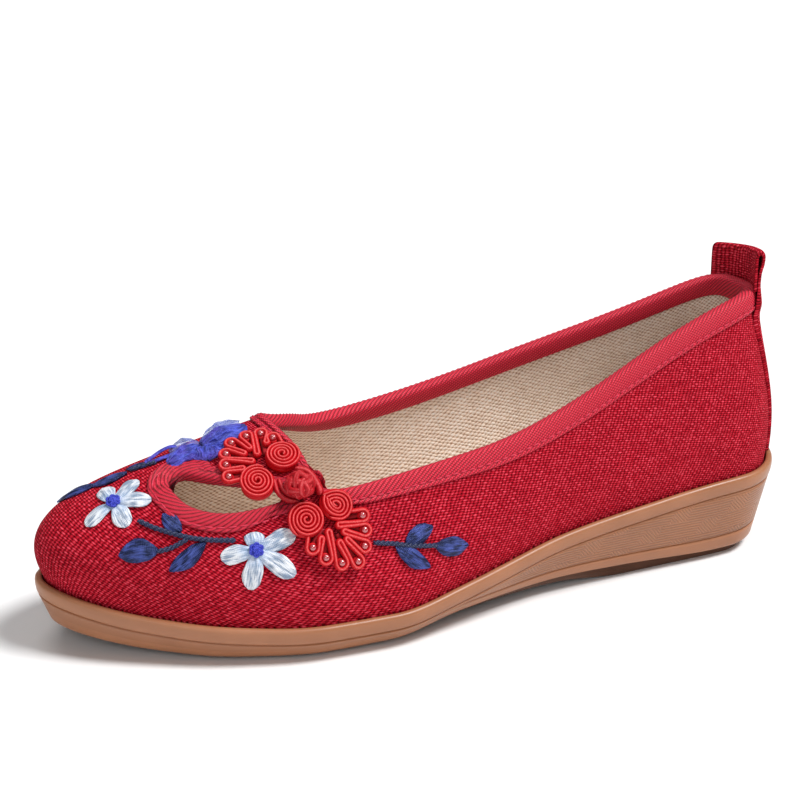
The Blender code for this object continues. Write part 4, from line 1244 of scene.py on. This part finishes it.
def make_sprig(name, spec, node):
    at, cords, leaves = spec
    b = Batch()
    for points in cords:
        p, n = lay(at, through(points, 0.3))
        out = np.cross(unit(np.gradient(p, axis=0)), n)
        for half in (0.0, np.pi):
            turn = lengths(p) * TAU / 3.0 + half
            path = p + n * (0.62 + 0.32 * np.sin(turn))[:, None] + out * (0.34 * np.cos(turn))[:, None]
            tube(b, path, n, 0.5, 0.5, 7, 1, ends=4)
    for k, (a0, c0, a1, c1, bow, half) in enumerate(leaves):
        petal(b, at, (a0, c0), (a1, c1), half, LEAF, 1.05, bow, k * 2.3 + 0.6)
    dress(b.make(name, [NAVY, STEM]), "ribbon_navy", node)


def make_chiffon():
    b = Batch()
    u = np.linspace(0, 1, 26)[:, None]
    v = np.linspace(-1, 1, 33)[None]
    outline = shaped(CHIFFON_EDGE[:, 0], CHIFFON_EDGE[:, 1], u[:, 0])[:, None]
    for k, (a0, c0, a1, c1, half, rise, slot) in enumerate(CHIFFON):
        base, way, aside, length = spine((a0, c0), (a1, c1))
        ripple = 1 + 0.04 * np.sin(v * 6 + 2 * k) + 0.03 * np.sin(v * 13 + k)
        ruffle = 1 + 0.09 * np.sin(u * 11 + 3 * k + np.sign(v)) + 0.06 * np.sin(u * 21 + 5 * k)
        ab = base + way * (u * length * ripple)[..., None] + aside * (half * outline * ruffle * v)[..., None]
        crown = rise * np.sin(np.pi * (0.12 + 0.8 * u)) * np.sqrt(1 - 0.92 * v * v)
        fold = 0.42 * np.sin(v * 5 + 2.1 * k + 3.0 * u) + 0.30 * np.sin(v * 11 + k - 4.0 * u)
        fold = fold + 0.26 * np.sin(u * 15 + v * 4 + 1.3 * k) * np.cos(v * 3 + k)
        fold = fold * np.sin(np.pi * (0.1 + 0.8 * u))
        h = np.maximum(0.5 + crown + fold * (1 - v ** 4), 0.45)
        below = np.maximum(h - 0.14, 0.3) if slot else np.full(h.shape, 0.3)
        pillow(b, CHIFFON_AT, ab, h, below, u * length, np.broadcast_to(half * v, h.shape) + 9 * k, slot)
    loop = through(CHIFFON_LOOP, 0.4)
    cord(b, CHIFFON_AT, loop[:, :2], loop[:, 2], 0.8, 0.42, 8, ends=3)
    dress(b.make("chiffon_flower", [CHIFFON_BODY, CHIFFON_VEIL]), "chiffon_blue", "flower_blue")


make_sole()
make_footbed()
make_upper(cloth_pattern())
make_tapes()
make_loop()
cord_half("cord_strap_half", CORD_STRAP, "frog_strap_half", 0.9)
cord_half("cord_side_half", CORD_SIDE, "frog_side_half", 4.0)
make_knot()
make_flower("ribbon_flower_toe", FLOWER_TOE, "flower_toe")
make_flower("ribbon_flower_side", FLOWER_SIDE, "flower_side")
make_chiffon()
make_sprig("leaves_front", SPRIG_FRONT, "sprig_front")
make_sprig("leaves_rear", SPRIG_REAR, "sprig_rear")
make_sprig("leaves_toe", SPRIG_TOE, "sprig_toe")


# Camera at the photograph's angle
def set_camera():
    yaw, rise = np.radians(EYE_YAW), np.radians(EYE_RISE)
    back = Vector((-np.sin(yaw) * np.cos(rise), -np.cos(yaw) * np.cos(rise), np.sin(rise)))
    lens = bpy.data.cameras.new("camera")
    lens.sensor_width = SENSOR
    lens.lens = EYE_FOCUS / PICTURE * SENSOR
    lens.clip_start = 0.01
    eye = put("camera", lens)
    eye.location = (Vector(EYE_TARGET) - Vector((*ORIGIN, 0.0))) * MM + back * EYE_AWAY * MM
    eye.rotation_euler = back.to_track_quat("Z", "Y").to_euler()
    bpy.context.scene.camera = eye


def set_lights():
    for name, place, power, spread_angle in LAMPS:
        lamp = bpy.data.lights.new(name, "SUN")
        lamp.energy = power
        lamp.angle = np.radians(spread_angle)
        obj = put(name, lamp)
        obj.location = place
        obj.rotation_euler = Vector(place).to_track_quat("Z", "Y").to_euler()
    world = bpy.data.worlds.new("studio")
    world.use_nodes = True
    background = world.node_tree.nodes["Background"]
    background.inputs[0].default_value = (1.0, 1.0, 1.0, 1.0)
    background.inputs[1].default_value = SKY
    bpy.context.scene.world = world
    bpy.context.scene.view_settings.view_transform = "Standard"


def set_floor():
    mesh = bpy.data.meshes.new("floor")
    corners = [(a * FLOOR_HALF, b * FLOOR_HALF, 0) for a, b in ((-1, -1), (1, -1), (1, 1), (-1, 1))]
    mesh.from_pydata(corners, [], [(0, 1, 2, 3)])
    paper = Net("paper", Roughness=0.9)
    tone = paper.range(paper.cloud(3.0), 0.3, 0.7)
    mesh.materials.append(paper.finish(paper.mix(tone, *FLOOR_TONES)))
    floor = put("floor", mesh)


set_camera()
set_lights()
set_floor()
